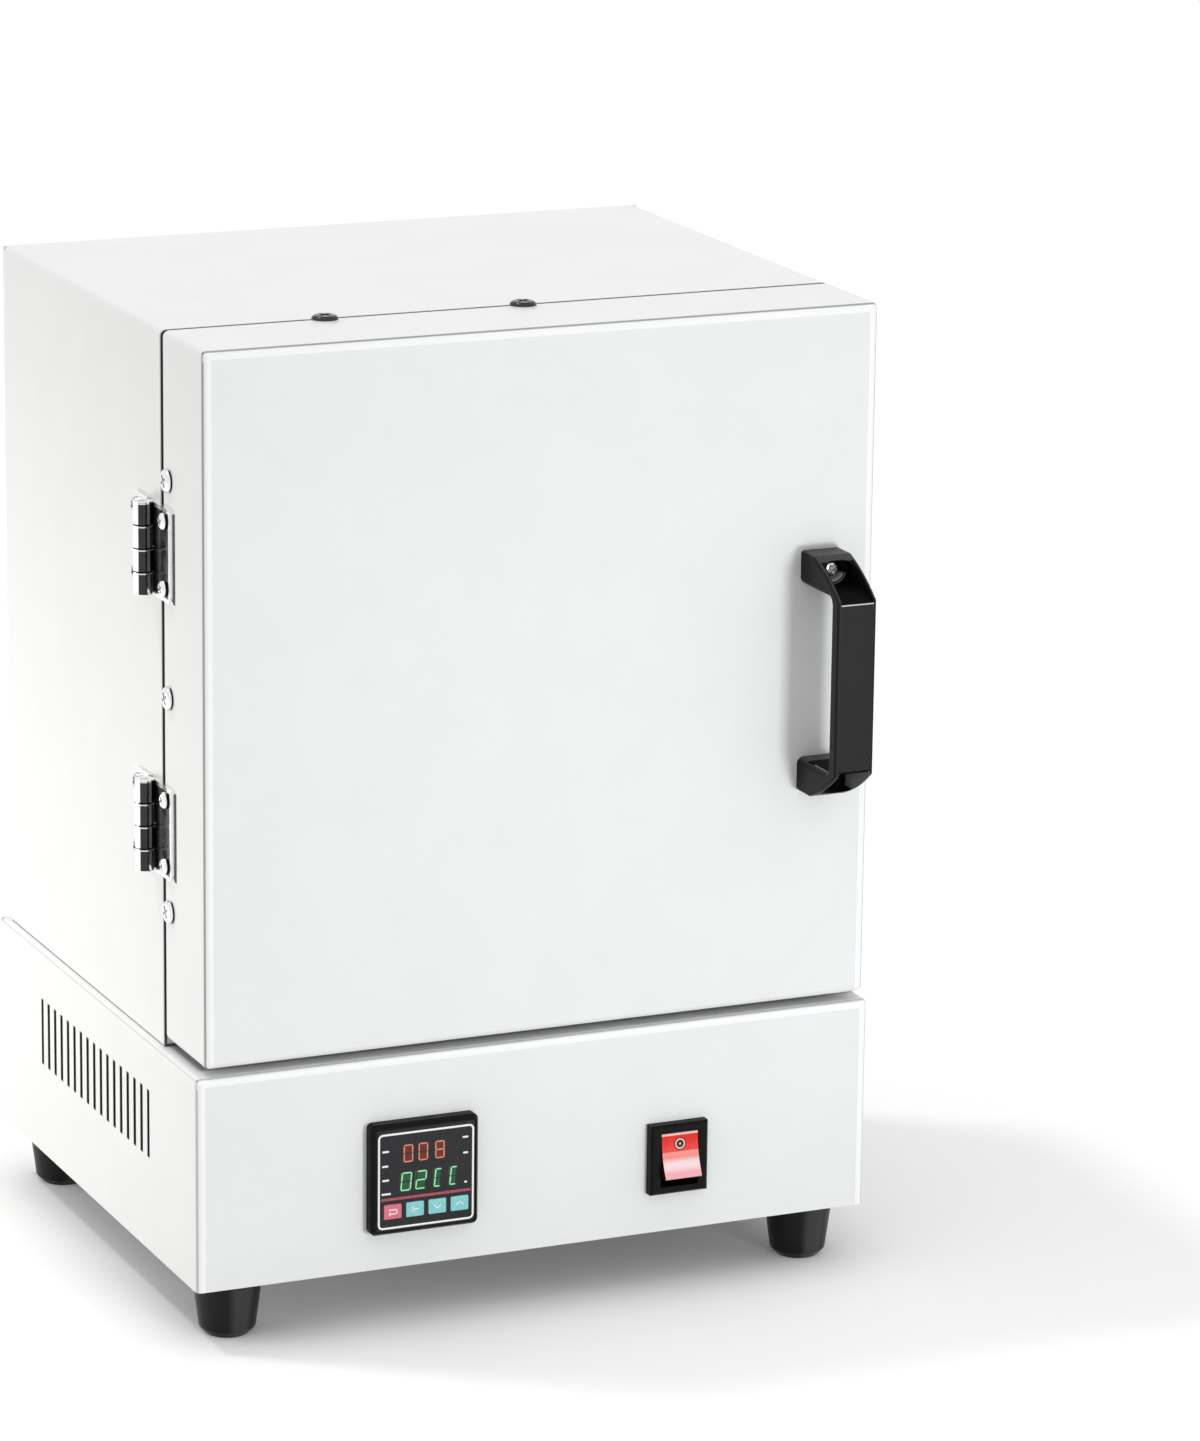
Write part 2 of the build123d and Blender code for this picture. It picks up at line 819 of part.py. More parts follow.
def make_casing_back_panel():
    """Sheet that closes the casing behind, with a row of vents above and below."""
    panel = block((left, right), (casing_shell_back, casing_back), (casing_bottom, casing_top))
    slot = SlotOverall(back_vent_height, back_vent_width, rotation=90)
    for z in (casing_bottom + back_vent_inset, casing_top - back_vent_inset):
        for index in range(back_vent_count):
            x = (index - (back_vent_count - 1) / 2) * back_vent_pitch
            place = Plane(origin=(x, casing_back, z), x_dir=(1, 0, 0), z_dir=(0, 1, 0))
            panel = panel - extrude(place * slot, amount=overshoot, both=True)
    return cut(panel, screw_holes(casing_back_screw_places, (0, 1, 0), back_screw))


# Chamber lining

def coil_route(side):
    """The winding's route in one side wall: in from behind, to and fro, and out behind."""
    x = side * coil_x
    lowest = chamber_middle_z - coil_half_span
    bend = coil_pitch / 2
    pieces = []
    for index in range(coil_runs):
        z = lowest + index * coil_pitch
        leaving = index % 2 == 1
        is_end_run = index in (0, coil_runs - 1)
        back = lining_back if is_end_run else coil_run_back
        ends = [(x, back, z), (x, coil_run_front, z)]
        if leaving:
            ends.reverse()
        pieces.append(Line(*ends))
        if index < coil_runs - 1:
            turn_y = coil_run_back if leaving else coil_run_front
            outward = 1 if leaving else -1
            middle = (x, turn_y + outward * bend, z + bend)
            pieces.append(ThreePointArc((x, turn_y, z), middle, (x, turn_y, z + coil_pitch)))
    return pieces


def sweep_coil(side, radius):
    """A round bar of the given radius along one winding's route."""
    route = Wire(coil_route(side))
    start = Plane(origin=route @ 0, z_dir=route % 0)
    return sweep(start * Circle(radius), path=route)


def make_heating_coil(side):
    """Winding of one side wall, as a round bar of the winding's outer size."""
    return sweep_coil(side, coil_radius)


def make_side_lining(side):
    """Side wall of the lining, grooved for its winding."""
    x_range = (lining_left, chamber_left) if side < 0 else (chamber_right, lining_right)
    wall = block(x_range, (frame_back, lining_back), (chamber_floor, chamber_roof))
    return wall - sweep_coil(side, coil_groove_radius)


def make_floor_lining():
    """Slab under the chamber."""
    return block(
        (lining_left, lining_right), (frame_back, lining_back),
        (casing_bottom + sheet, chamber_floor),
    )


def make_roof_lining():
    """Slab over the chamber."""
    return block(
        (lining_left, lining_right), (frame_back, lining_back), (chamber_roof, lining_top)
    )


def make_back_lining():
    """Slab behind the chamber, with the hole for the temperature probe."""
    slab = block(
        (chamber_left, chamber_right), (chamber_back, lining_back), (chamber_floor, chamber_roof)
    )
    hole_start = (0, chamber_back - overshoot, probe_z)
    slab = slab - rod(hole_start, (0, 1, 0), probe_radius, casing_depth)
    return cut(slab, [sweep_coil(side, coil_groove_radius) for side in (-1, 1)])


def make_heater_terminals():
    """Four connectors that take the windings' ends behind the lining."""
    solids = []
    width, depth, height = connector_size
    back = lining_back + depth
    for x in (-coil_x, coil_x):
        for z in (chamber_middle_z - coil_half_span, chamber_middle_z + coil_half_span):
            collar = block(around(x, width), (lining_back, back), around(z, height))
            solids.append(collar + screw((x, back, z), (0, 1, 0), connector_screw))
    return Compound(solids)


def make_kiln_shelf():
    """Ceramic shelf that lies on the chamber's floor."""
    width, depth, height = shelf_size
    y_range = around((frame_back + plug_depth + chamber_back) / 2, depth)
    shelf = block(around(0, width), y_range, (chamber_floor, chamber_floor + height))
    return chamfer(shelf.faces().sort_by(Axis.Z)[-1].edges(), shelf_bevel)


def make_thermocouple_sheath():
    """Ceramic tube of the temperature probe, closed at its tip."""
    tip_y = chamber_back - probe_reach
    length = lining_back + probe_tail - tip_y
    tube = rod((0, tip_y, probe_z), (0, 1, 0), probe_radius, length)
    tip = tube.faces().sort_by(Axis.Y)[0]
    return fillet(tip.edges(), probe_radius * 0.8)


def make_thermocouple_head():
    """Small ceramic block behind the lining where the probe's wires are joined."""
    width, depth, height = probe_head_size
    offset, radius, hole_depth = probe_wire_hole
    back = lining_back + depth
    head = block(around(0, width), (lining_back, back), around(probe_z, height))
    head = head - rod((0, lining_back, probe_z), (0, 1, 0), probe_radius, probe_tail)
    for x in (-offset, offset):
        head = head - rod((x, back, probe_z), (0, -1, 0), radius, hole_depth)
    return head


def make_catch_magnets():
    """Two flat magnets on the front frame that hold the door shut by its steel liner."""
    y_range = (door_thickness + magnet_gap, casing_front)
    return Compound([
        block(magnet_x_range, y_range, around(z, magnet_height))
        for z in (chamber_middle_z - magnet_offset, chamber_middle_z + magnet_offset)
    ])


# Door


def door_side_screw_places(side):
    """Where the cover screws stand on one side of the door."""
    return [(side * casing_width / 2, door_side_screw_y, z) for z in door_side_screw_heights]


def door_top_screws_places():
    """Where the cover screws stand on the door's top."""
    return [(x, door_top_screw_y, door_top) for x in door_top_screw_places]


def cut_door_screw_holes(solid):
    """Holes for every cover screw of the door."""
    for side in (-1, 1):
        solid = cut(solid, screw_holes(door_side_screw_places(side), (side, 0, 0), cover_screw))
    solid = cut(solid, screw_holes(door_top_screws_places(), (0, 0, 1), top_screw))
    solid = cut(solid, screw_holes(door_leaf_screw_places(), (-1, 0, 0), leaf_screw))
    return cut(solid, screw_holes(handle_screw_places(), (0, -1, 0), handle_screw))


def make_door_shell():
    """Door cover: a folded tray, open behind."""
    open_behind = [("Y", door_thickness)]
    shell = softened_block(
        (left, right), (0, door_thickness), (door_bottom, door_top), bend_radius, open_behind
    )
    inside_back = door_thickness + overshoot
    shell = shell - softened_block(
        (left + sheet, right - sheet), (sheet, inside_back),
        (door_bottom + sheet, door_top - sheet), bend_radius - sheet, [("Y", inside_back)],
    )
    return cut_door_screw_holes(shell)


def make_door_liner():
    """Inner pan of the door, with walls turned forwards and a hole for the plug."""
    x_range = (left + sheet, right - sheet)
    z_range = (door_bottom + sheet, door_top - sheet)
    pan = block(x_range, (liner_front - flange_width, door_thickness), z_range)
    pan = fillet(pan.edges().filter_by(Axis.Y), bend_radius - sheet)
    pan = pan - block(
        (x_range[0] + sheet, x_range[1] - sheet), (0, liner_front),
        (z_range[0] + sheet, z_range[1] - sheet),
    )
    plug_hole = block(
        around(0, plug_base), (liner_front - overshoot, door_thickness + overshoot),
        around(chamber_middle_z, plug_base),
    )
    return cut_door_screw_holes(pan - plug_hole)


def make_door_insulation():
    """Slab that fills the door between its cover and its liner."""
    inset = 2 * sheet + fibre_clearance
    slab = block(
        (left + inset, right - inset), (sheet, liner_front),
        (door_bottom + inset, door_top - inset),
    )
    return cut_door_screw_holes(slab)


def make_door_plug():
    """Block on the door's back that fills the chamber's mouth."""
    plug = block(
        around(0, plug_base), (liner_front, frame_back + plug_depth),
        around(chamber_middle_z, plug_base),
    )
    nose = plug.faces().sort_by(Axis.Y)[-1]
    return chamfer(nose.edges(), plug_bevel)


def make_door_gasket():
    """Flat fibre seal round the plug, facing the lining's collar."""
    y_range = (door_thickness, frame_back - gasket_clearance)
    outer = plug_base + 2 * (collar_width - gasket_inset)
    ring = block(around(0, outer), y_range, around(chamber_middle_z, outer))
    return ring - block(around(0, plug_base), y_range, around(chamber_middle_z, plug_base))


def make_door_side_screws():
    """Cover screws of the door's two sides."""
    return Compound([
        screw(place, (side, 0, 0), cover_screw)
        for side in (-1, 1) for place in door_side_screw_places(side)
    ])


def make_door_top_screws():
    """Cover screws of the door's top."""
    return Compound([screw(place, (0, 0, 1), top_screw) for place in door_top_screws_places()])


# Handle

handle_side = Plane(origin=(handle_middle_x, 0, 0), x_dir=(0, 1, 0), z_dir=(1, 0, 0))


def handle_screw_places():
    """Where the two handle screws are seated, inside the handle's recesses."""
    heights = (handle_bottom + handle_screw_drop, handle_top - handle_screw_drop)
    return [(handle_middle_x, -handle_screw_seat, z) for z in heights]


def make_handle():
    """Bridge handle with bowed, sloping arms, a recess in each slope and a rounded grip."""
    upper_foot = (-handle_foot_depth, handle_top)
    upper_front = (-handle_reach, handle_top - handle_slope)
    lower_front = (-handle_reach, handle_bottom + handle_slope)
    lower_foot = (-handle_foot_depth, handle_bottom)
    outline = [
        Polyline(lower_foot, (0, handle_bottom), (0, handle_top), upper_foot),
        SagittaArc(upper_foot, upper_front, -handle_bow),
        Line(upper_front, lower_front),
        SagittaArc(lower_front, lower_foot, -handle_bow),
    ]
    body = extrude(handle_side * make_face(outline), amount=handle_width / 2, both=True)
    by_side = body.faces().sort_by(Axis.X)
    outer_edges = [
        edge for face in (by_side[0], by_side[-1]) for edge in face.edges()
        if edge.center().Y < -0.1
    ]
    body = fillet(outer_edges, handle_outer_rim)
    gap_range = (handle_bottom + handle_arm, handle_top - handle_arm)
    gap = block(
        around(handle_middle_x, 2 * handle_width), (handle_bar - handle_reach, overshoot), gap_range
    )
    inner_corners = gap.edges().filter_by(Axis.X).sort_by(Axis.Y)[:2]
    body = body - fillet(inner_corners, handle_gap_corner)
    grip_back = [
        edge for edge in body.edges().filter_by(Axis.Z)
        if abs(edge.center().Y - (handle_bar - handle_reach)) < 0.1
    ]
    body = fillet(grip_back, handle_grip_rim)
    for end in (-1, 1):
        body = body - make_handle_recess(end)
    return cut(body, screw_holes(handle_screw_places(), (0, -1, 0), handle_screw))


def make_handle_recess(end):
    """The arched pocket in one sloping arm, and the round well at its bottom for the screw."""
    end_z = handle_middle_z + end * (handle_top - handle_bottom) / 2
    far_z = end_z - end * handle_wall
    near_z = end_z - end * (handle_arm - handle_wall)
    lip_z = end_z - end * (handle_slope + handle_lip_drop)
    outside_y = -handle_reach - overshoot
    outline = Polyline(
        (-handle_recess_base, far_z), (outside_y, far_z), (outside_y, lip_z),
        (-handle_reach, lip_z), (-handle_ramp_start, near_z), (-handle_recess_base, near_z),
        (-handle_recess_base, far_z),
    )
    half_width = handle_width / 2 - handle_wall
    pocket = extrude(handle_side * make_face(outline), amount=half_width, both=True)
    far_edges = [
        edge for edge in pocket.edges().filter_by(Axis.Y) if abs(edge.center().Z - far_z) < 0.1
    ]
    pocket = fillet(far_edges, handle_recess_corner)
    seat = (handle_middle_x, -handle_screw_seat, end_z - end * handle_screw_drop)
    well_depth = handle_recess_base - handle_screw_seat
    return pocket + rod(seat, (0, -1, 0), handle_well_radius, well_depth)


def make_handle_screws():
    """The two screws that hold the handle on the door."""
    return Compound([screw(place, (0, -1, 0), handle_screw) for place in handle_screw_places()])


# Hinges


def hinge_screw_heights():
    """Heights of the two screws of every leaf."""
    return [
        middle + side * hinge_screw_half_spacing
        for middle in hinge_middles.values() for side in (-1, 1)
    ]


def door_leaf_screw_places():
    """Where the screws stand on the door's leaves."""
    y = door_leaf_front + hinge_screw_inset
    return [(left - leaf_thickness, y, z) for z in hinge_screw_heights()]


def casing_leaf_screw_places():
    """Where the screws stand on the casing's leaves."""
    y = casing_leaf_back - hinge_screw_inset
    return [(left - leaf_thickness, y, z) for z in hinge_screw_heights()]


def knuckle_range(middle, index):
    """Height range of one knuckle, with its share of the gap to its neighbours."""
    low = middle - hinge_height / 2 + index * knuckle_pitch
    return (low + knuckle_gap / 2, low + knuckle_pitch - knuckle_gap / 2)


def make_leaf(middle, edge_y, own_knuckles, bore_radius, screw_places):
    """One hinge leaf: a plate with rounded corners, its own knuckles and gaps for the others."""
    inner_y, outer_y = sorted((edge_y, hinge_axis_y))
    height_range = around(middle, hinge_height)
    leaf = block((left - leaf_thickness, left), (inner_y, outer_y), height_range)
    free_corners = [
        edge for edge in leaf.edges().filter_by(Axis.X) if abs(edge.center().Y - edge_y) < 0.01
    ]
    leaf = fillet(free_corners, leaf_corner)
    relief = knuckle_radius + leaf_relief
    for index in range(knuckle_count):
        low, high = knuckle_range(middle, index)
        if index in own_knuckles:
            bottom = (hinge_axis_x, hinge_axis_y, low)
            leaf = leaf + rod(bottom, (0, 0, 1), knuckle_radius, high - low)
        else:
            gap_heights = (low - knuckle_gap, high + knuckle_gap)
            leaf = leaf - block(
                (hinge_axis_x - relief, left), around(hinge_axis_y, 2 * relief), gap_heights
            )
    bore_start = (hinge_axis_x, hinge_axis_y, middle - hinge_height)
    leaf = leaf - rod(bore_start, (0, 0, 1), bore_radius, 2 * hinge_height)
    return cut(leaf, screw_holes(screw_places, (-1, 0, 0), leaf_screw))


def make_door_leaf(name):
    """The leaf on the door: first and third knuckles from the top, running on the pin."""
    middle = hinge_middles[name]
    bore = pin_radius + running_clearance
    return make_leaf(middle, door_leaf_front, (1, 3), bore, door_leaf_screw_places())


def make_casing_leaf(name):
    """The leaf on the casing: the other two knuckles, tight on the pin."""
    middle = hinge_middles[name]
    return make_leaf(middle, casing_leaf_back, (0, 2), pin_radius, casing_leaf_screw_places())


def make_hinge_pins():
    """The two hinge pins, with softened ends."""
    pins = []
    for middle in hinge_middles.values():
        bottom = (hinge_axis_x, hinge_axis_y, middle - hinge_height / 2)
        pin = rod(bottom, (0, 0, 1), pin_radius, hinge_height)
        pins.append(chamfer(pin.edges().filter_by(GeomType.CIRCLE), pin_bevel))
    return Compound(pins)


# Wires inside the base and the casing


def make_mains_leads():
    """Live and neutral wires from the inlet to the power switch."""
    start_y = base_back - inlet_depth - contact_tail
    start_z = inlet_z - contact_rise
    end_y = base_front + switch_body_depth + switch_tab_size[1]
    end_z = switch_z - switch_tab_offset[1]
    run_x = 112.0
    run_z = 46.0
    leads = []
    for side in (-1, 1):
        start_x = inlet_x + side * contact_spacing
        end_x = switch_x + side * switch_tab_offset[0]
        side_x = run_x + side * 4.0
        points = [
            (start_x, start_y, start_z),
            (start_x, start_y - 14, start_z),
            (side_x, start_y - 40, run_z),
            (side_x, end_y + 48, run_z),
            (end_x, end_y + 14, end_z),
            (end_x, end_y, end_z),
        ]
        leads.append(round_lead(points, lead_radius, lead_bend))
    return Compound(leads)


def make_heater_leads():
    """Wires that climb from the base through the ring to the lower heater connectors."""
    connector_y = lining_back + connector_size[1] / 2
    connector_bottom = chamber_middle_z - coil_half_span - connector_size[2] / 2
    leads = []
    for side in (-1, 1):
        lead_x = grommet_x + side * lead_spacing
        points = [
            (lead_x, grommet_y, base_top - 19),
            (lead_x, grommet_y, base_top + 22),
            (side * coil_x, connector_y, base_top + 44),
            (side * coil_x, connector_y, connector_bottom),
        ]
        leads.append(round_lead(points, lead_radius, high_lead_bend))
    return Compound(leads)


def make_thermocouple_lead():
    """Thin wire from the probe's head down through the ring into the base."""
    head_y = lining_back + probe_head_size[1] / 2
    head_bottom = probe_z - probe_head_size[2] / 2
    lead_y = grommet_y + lead_spacing + probe_lead_radius
    points = [
        (0, head_y, head_bottom),
        (0, head_y, head_bottom - 40),
        (30, lead_y, base_top + 40),
        (grommet_x, lead_y, base_top + 20),
        (grommet_x, lead_y, base_top - 19),
    ]
    return round_lead(points, probe_lead_radius, high_lead_bend)


def main():
    """Make every piece and write it."""
    os.makedirs("parts", exist_ok=True)
    save("base_shell", make_base_shell())
    save("base_floor", make_base_floor())
    save("base_back_panel", make_base_back_panel())
    save("base_back_screws", Compound([
        screw(place, (0, 1, 0), back_screw) for place in base_back_screw_places
    ]))
    save("feet", make_feet())
    save("foot_screws", make_foot_screws())
    save("power_inlet", make_power_inlet())
    save("inlet_contacts", Compound(inlet_contact_solids()))
    save("inlet_screws", Compound([
        screw(place, (0, 1, 0), inlet_screw) for place in inlet_screw_places
    ]))
    save("wire_grommet", make_wire_grommet())
    save("controller_bezel", make_controller_bezel())
    save("controller_faceplate", make_controller_faceplate())
    save("controller_case", make_controller_case())
    save("controller_clamp", make_controller_clamp())
    save("display_module", make_display_module())
    for index, name in enumerate(key_names):
        save(name, make_key(index))
    save("switch_housing", make_switch_housing())
    save("switch_rocker", make_switch_rocker())
    save("switch_terminals", make_switch_terminals())
    save("relay_heat_sink", make_relay_heat_sink())
    save("solid_state_relay", make_solid_state_relay())
    save("terminal_block", make_terminal_block())
    save("casing_shell", make_casing_shell())
    save("casing_front_frame", make_casing_front_frame())
    save("casing_back_panel", make_casing_back_panel())
    save("casing_back_screws", Compound([
        screw(place, (0, 1, 0), back_screw) for place in casing_back_screw_places
    ]))
    save("insulation_floor", make_floor_lining())
    save("insulation_roof", make_roof_lining())
    save("insulation_back", make_back_lining())
    for name, side in (("left", -1), ("right", 1)):
        save(f"insulation_{name}", make_side_lining(side))
        save(f"heating_coil_{name}", make_heating_coil(side))
    save("heater_terminals", make_heater_terminals())
    save("kiln_shelf", make_kiln_shelf())
    save("thermocouple_sheath", make_thermocouple_sheath())
    save("thermocouple_head", make_thermocouple_head())
    save("catch_magnets", make_catch_magnets())
    save("door_shell", make_door_shell())
    save("door_liner", make_door_liner())
    save("door_insulation", make_door_insulation())
    save("door_plug", make_door_plug())
    save("door_gasket", make_door_gasket())
    save("door_side_screws", make_door_side_screws())
    save("door_top_screws", make_door_top_screws())
    save("handle", make_handle())
    save("handle_screws", make_handle_screws())
    for name in hinge_middles:
        save(f"{name}_hinge_door_leaf", make_door_leaf(name))
        save(f"{name}_hinge_casing_leaf", make_casing_leaf(name))
    save("hinge_pins", make_hinge_pins())
    save("hinge_door_screws", Compound([
        screw(place, (-1, 0, 0), leaf_screw) for place in door_leaf_screw_places()
    ]))
    save("hinge_casing_screws", Compound([
        screw(place, (-1, 0, 0), leaf_screw) for place in casing_leaf_screw_places()
    ]))
    save("mains_leads", make_mains_leads())
    save("heater_leads", make_heater_leads())
    save("thermocouple_lead", make_thermocouple_lead())


main()
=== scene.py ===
"""Looks of an electric bench kiln: its finishes, printed face, windings, stage and camera."""
import json
import math

import bmesh
import bpy
from mathutils import Matrix, Vector


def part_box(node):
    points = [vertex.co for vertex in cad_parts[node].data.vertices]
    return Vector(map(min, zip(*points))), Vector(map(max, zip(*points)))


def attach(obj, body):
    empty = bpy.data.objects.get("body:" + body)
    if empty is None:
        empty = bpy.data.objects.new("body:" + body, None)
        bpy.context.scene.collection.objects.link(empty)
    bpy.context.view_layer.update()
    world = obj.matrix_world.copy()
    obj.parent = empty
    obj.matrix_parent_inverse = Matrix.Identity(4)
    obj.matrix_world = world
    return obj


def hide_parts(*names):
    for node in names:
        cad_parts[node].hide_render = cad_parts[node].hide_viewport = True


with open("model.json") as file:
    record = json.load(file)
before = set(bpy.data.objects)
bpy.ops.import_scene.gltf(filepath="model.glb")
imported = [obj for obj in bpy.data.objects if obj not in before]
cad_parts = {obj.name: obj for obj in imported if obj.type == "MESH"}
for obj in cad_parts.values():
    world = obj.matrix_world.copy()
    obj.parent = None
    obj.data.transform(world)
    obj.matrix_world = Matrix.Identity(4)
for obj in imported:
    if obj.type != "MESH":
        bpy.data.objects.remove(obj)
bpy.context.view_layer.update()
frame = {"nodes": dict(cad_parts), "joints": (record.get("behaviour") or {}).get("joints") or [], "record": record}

bl_info = {
    "name": "Bench Kiln Looks",
    "version": (1, 0, 0),
    "blender": (4, 5, 0),
    "location": "View3D > Sidebar > Kiln",
    "description": "Finishes, printed controller face, heating windings and stage for a bench kiln",
    "category": "Object",
}

MM = 0.001


# Places read from the frame

def joint_place(name):
    """The point that the joint of that name turns about."""
    joint = next(joint for joint in frame["joints"] if joint["name"] == name)
    return Vector(joint["pos_m"])


FACE_LOW, FACE_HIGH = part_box("controller_faceplate")
FACE_MIDDLE = (FACE_LOW + FACE_HIGH) / 2
FACE_FRONT = FACE_LOW.y


# Node helpers for the finishes

NOISE_SPAN = (0.3, 0.7)


class Finish:
    """One procedural material, built node by node around a single shader."""

    def __init__(self, name, **constants):
        """Constants go to the shader's own sockets, named with underscores for spaces."""
        self.material = bpy.data.materials.new(name)
        self.material.use_nodes = True
        self.tree = self.material.node_tree
        self.tree.nodes.clear()
        output = self.node("ShaderNodeOutputMaterial")
        self.shader = self.node("ShaderNodeBsdfPrincipled")
        self.link(self.shader.outputs["BSDF"], output.inputs["Surface"])
        for socket, value in constants.items():
            self.shader.inputs[socket.replace("_", " ")].default_value = value
        coordinates = self.node("ShaderNodeTexCoord")
        self.place = coordinates.outputs["Object"]
        self.axes = self.split(self.place)
        self.facing = self.split(coordinates.outputs["Normal"])
        self.relief = None

    def link(self, source, target):
        """Join two sockets."""
        self.tree.links.new(source, target)

    def node(self, kind, **settings):
        """A new node with its plain properties set."""
        made = self.tree.nodes.new(kind)
        for name, value in settings.items():
            setattr(made, name, value)
        return made

    def split(self, vector):
        """The X, Y and Z of a vector socket."""
        parts = self.node("ShaderNodeSeparateXYZ")
        self.link(vector, parts.inputs["Vector"])
        return parts.outputs

    def noise(self, grain, detail=2.0, roughness=0.5, distortion=0.0, stretch=None):
        """Noise whose features are about grain metres across, drawn out along an axis if asked."""
        place = self.place
        if stretch:
            mapping = self.node("ShaderNodeMapping")
            mapping.inputs["Scale"].default_value = stretch
            self.link(place, mapping.inputs["Vector"])
            place = mapping.outputs["Vector"]
        noise = self.node("ShaderNodeTexNoise")
        noise.inputs["Scale"].default_value = 1.0 / grain
        noise.inputs["Detail"].default_value = detail
        noise.inputs["Roughness"].default_value = roughness
        noise.inputs["Distortion"].default_value = distortion
        self.link(place, noise.inputs["Vector"])
        return noise.outputs["Fac"]

    def cells(self, grain, output="Distance"):
        """Cell pattern whose cells are about grain metres across."""
        cells = self.node("ShaderNodeTexVoronoi")
        cells.inputs["Scale"].default_value = 1.0 / grain
        self.link(self.place, cells.inputs["Vector"])
        return cells.outputs[output]

    def ranged(self, value, low, high, new_low, new_high):
        """A value moved from one range to another, smoothly and clamped."""
        ranged = self.node("ShaderNodeMapRange", interpolation_type="SMOOTHSTEP")
        for name, number in (
            ("From Min", low), ("From Max", high), ("To Min", new_low), ("To Max", new_high)
        ):
            ranged.inputs[name].default_value = number
        self.link(value, ranged.inputs["Value"])
        return ranged.outputs["Result"]

    def rising(self, value, low, high):
        """A mask that grows from 0 to 1 as a value goes from low to high."""
        return self.ranged(value, low, high, 0.0, 1.0)

    def falling(self, value, low, high):
        """A mask that drops from 1 to 0 as a value goes from low to high."""
        return self.ranged(value, low, high, 1.0, 0.0)

    def maths(self, operation, first, second=None):
        """One arithmetic step on sockets or numbers."""
        step = self.node("ShaderNodeMath", operation=operation)
        for socket, value in zip(step.inputs, (first, second)):
            if value is None:
                continue
            if isinstance(value, (int, float)):
                socket.default_value = value
            else:
                self.link(value, socket)
        return step.outputs["Value"]

    def product(self, first, *others):
        """Several masks or numbers multiplied together."""
        for other in others:
            first = self.maths("MULTIPLY", first, other)
        return first

    def opposite(self, mask):
        """The mask turned round: 0 where it was 1."""
        return self.maths("SUBTRACT", 1.0, mask)

    def away(self, axis, middle):
        """Distance from a plane across one axis, on either side of it."""
        return self.maths("ABSOLUTE", self.maths("SUBTRACT", self.axes[axis], middle))

    def sideways(self, low, high):
        """A mask of the faces that look left or right."""
        return self.rising(self.maths("ABSOLUTE", self.facing["X"]), low, high)

    def inward(self, axis, plane, direction):
        """Distance from a plane across one axis, growing along a direction of 1 or -1."""
        return self.maths("MULTIPLY", self.maths("SUBTRACT", self.axes[axis], plane), direction)

    def within(self, value, low, high, soft):
        """1 where a value lies between two limits, falling smoothly to 0 beyond them."""
        return self.product(
            self.rising(value, low - soft, low), self.falling(value, high, high + soft)
        )

    def inside(self, ranges, soft):
        """1 inside a box given as {axis: (low, high)}, falling smoothly to 0 around it."""
        return self.product(*[
            self.within(self.axes[axis], low, high, soft) for axis, (low, high) in ranges.items()
        ])

    def from_line(self, axes, place):
        """Distance from a line that crosses the plane of two axes at a place."""
        squares = []
        for axis, middle in zip(axes, place):
            offset = self.maths("SUBTRACT", self.axes[axis], middle)
            squares.append(self.maths("MULTIPLY", offset, offset))
        return self.maths("SQRT", self.maths("ADD", *squares))

    def from_row(self, axis, first, pitch):
        """Distance from the nearest of a row of planes across one axis, a pitch apart."""
        steps = self.maths("DIVIDE", self.maths("SUBTRACT", self.axes[axis], first), pitch)
        rest = self.maths("SUBTRACT", steps, self.maths("ROUND", steps))
        return self.maths("MULTIPLY", self.maths("ABSOLUTE", rest), pitch)

    def blended(self, factor, first, second):
        """A mix of two colours, each a socket or three numbers."""
        mix = self.node("ShaderNodeMix", data_type="RGBA")
        self.link(factor, mix.inputs["Factor"])
        for socket, value in ((mix.inputs[6], first), (mix.inputs[7], second)):
            if hasattr(value, "default_value"):
                self.link(value, socket)
            else:
                socket.default_value = (*value, 1.0)
        return mix.outputs[2]

    def painted(self, tone, *patches):
        """A tone with patches over it, each a mask and a colour."""
        for mask, colour in patches:
            tone = self.blended(mask, tone, colour)
        return tone

    def colour(self, socket):
        """Use a socket as the surface's colour."""
        self.link(socket, self.shader.inputs["Base Color"])

    def glow(self, socket):
        """Use a socket as the colour of the surface's own light."""
        self.link(socket, self.shader.inputs["Emission Color"])

    def rough(self, socket):
        """Use a socket as the surface's roughness."""
        self.link(socket, self.shader.inputs["Roughness"])

    def roughened(self, noise, low, high):
        """Let the roughness follow a noise from low to high."""
        self.rough(self.ranged(noise, *NOISE_SPAN, low, high))

    def bump(self, height, depth):
        """Add a relief of the given depth in metres, over any relief already there."""
        bump = self.node("ShaderNodeBump")
        bump.inputs["Strength"].default_value = 1.0
        bump.inputs["Distance"].default_value = depth
        self.link(height, bump.inputs["Height"])
        if self.relief:
            self.link(self.relief, bump.inputs["Normal"])
        self.relief = bump.outputs["Normal"]
        self.link(self.relief, self.shader.inputs["Normal"])


def tinted(colour, factor):
    """A colour made lighter or darker by a factor."""
    return tuple(min(1.0, channel * factor) for channel in colour)


def grey(level):
    """A neutral colour."""
    return (level, level, level)


def past(plane, reach):
    """Both ends of a stretch that is given by its distances past a plane."""
    return (plane + reach[0], plane + reach[1])


def dress_node(name, finish):
    """Give a finish to one CAD node."""
    node = frame["nodes"][name]
    if not node.material_slots:
        raise RuntimeError(f"{name} has no material slot to dress")
    for slot in node.material_slots:
        slot.material = finish.material


def dress_nodes(slot, finish):
    """Give a finish to every CAD node that has this material slot in the record."""
    for subpart in frame["record"]["subparts"]:
        if subpart["material_slot"] == slot:
            dress_node(subpart["node"], finish)


# Sheet metal

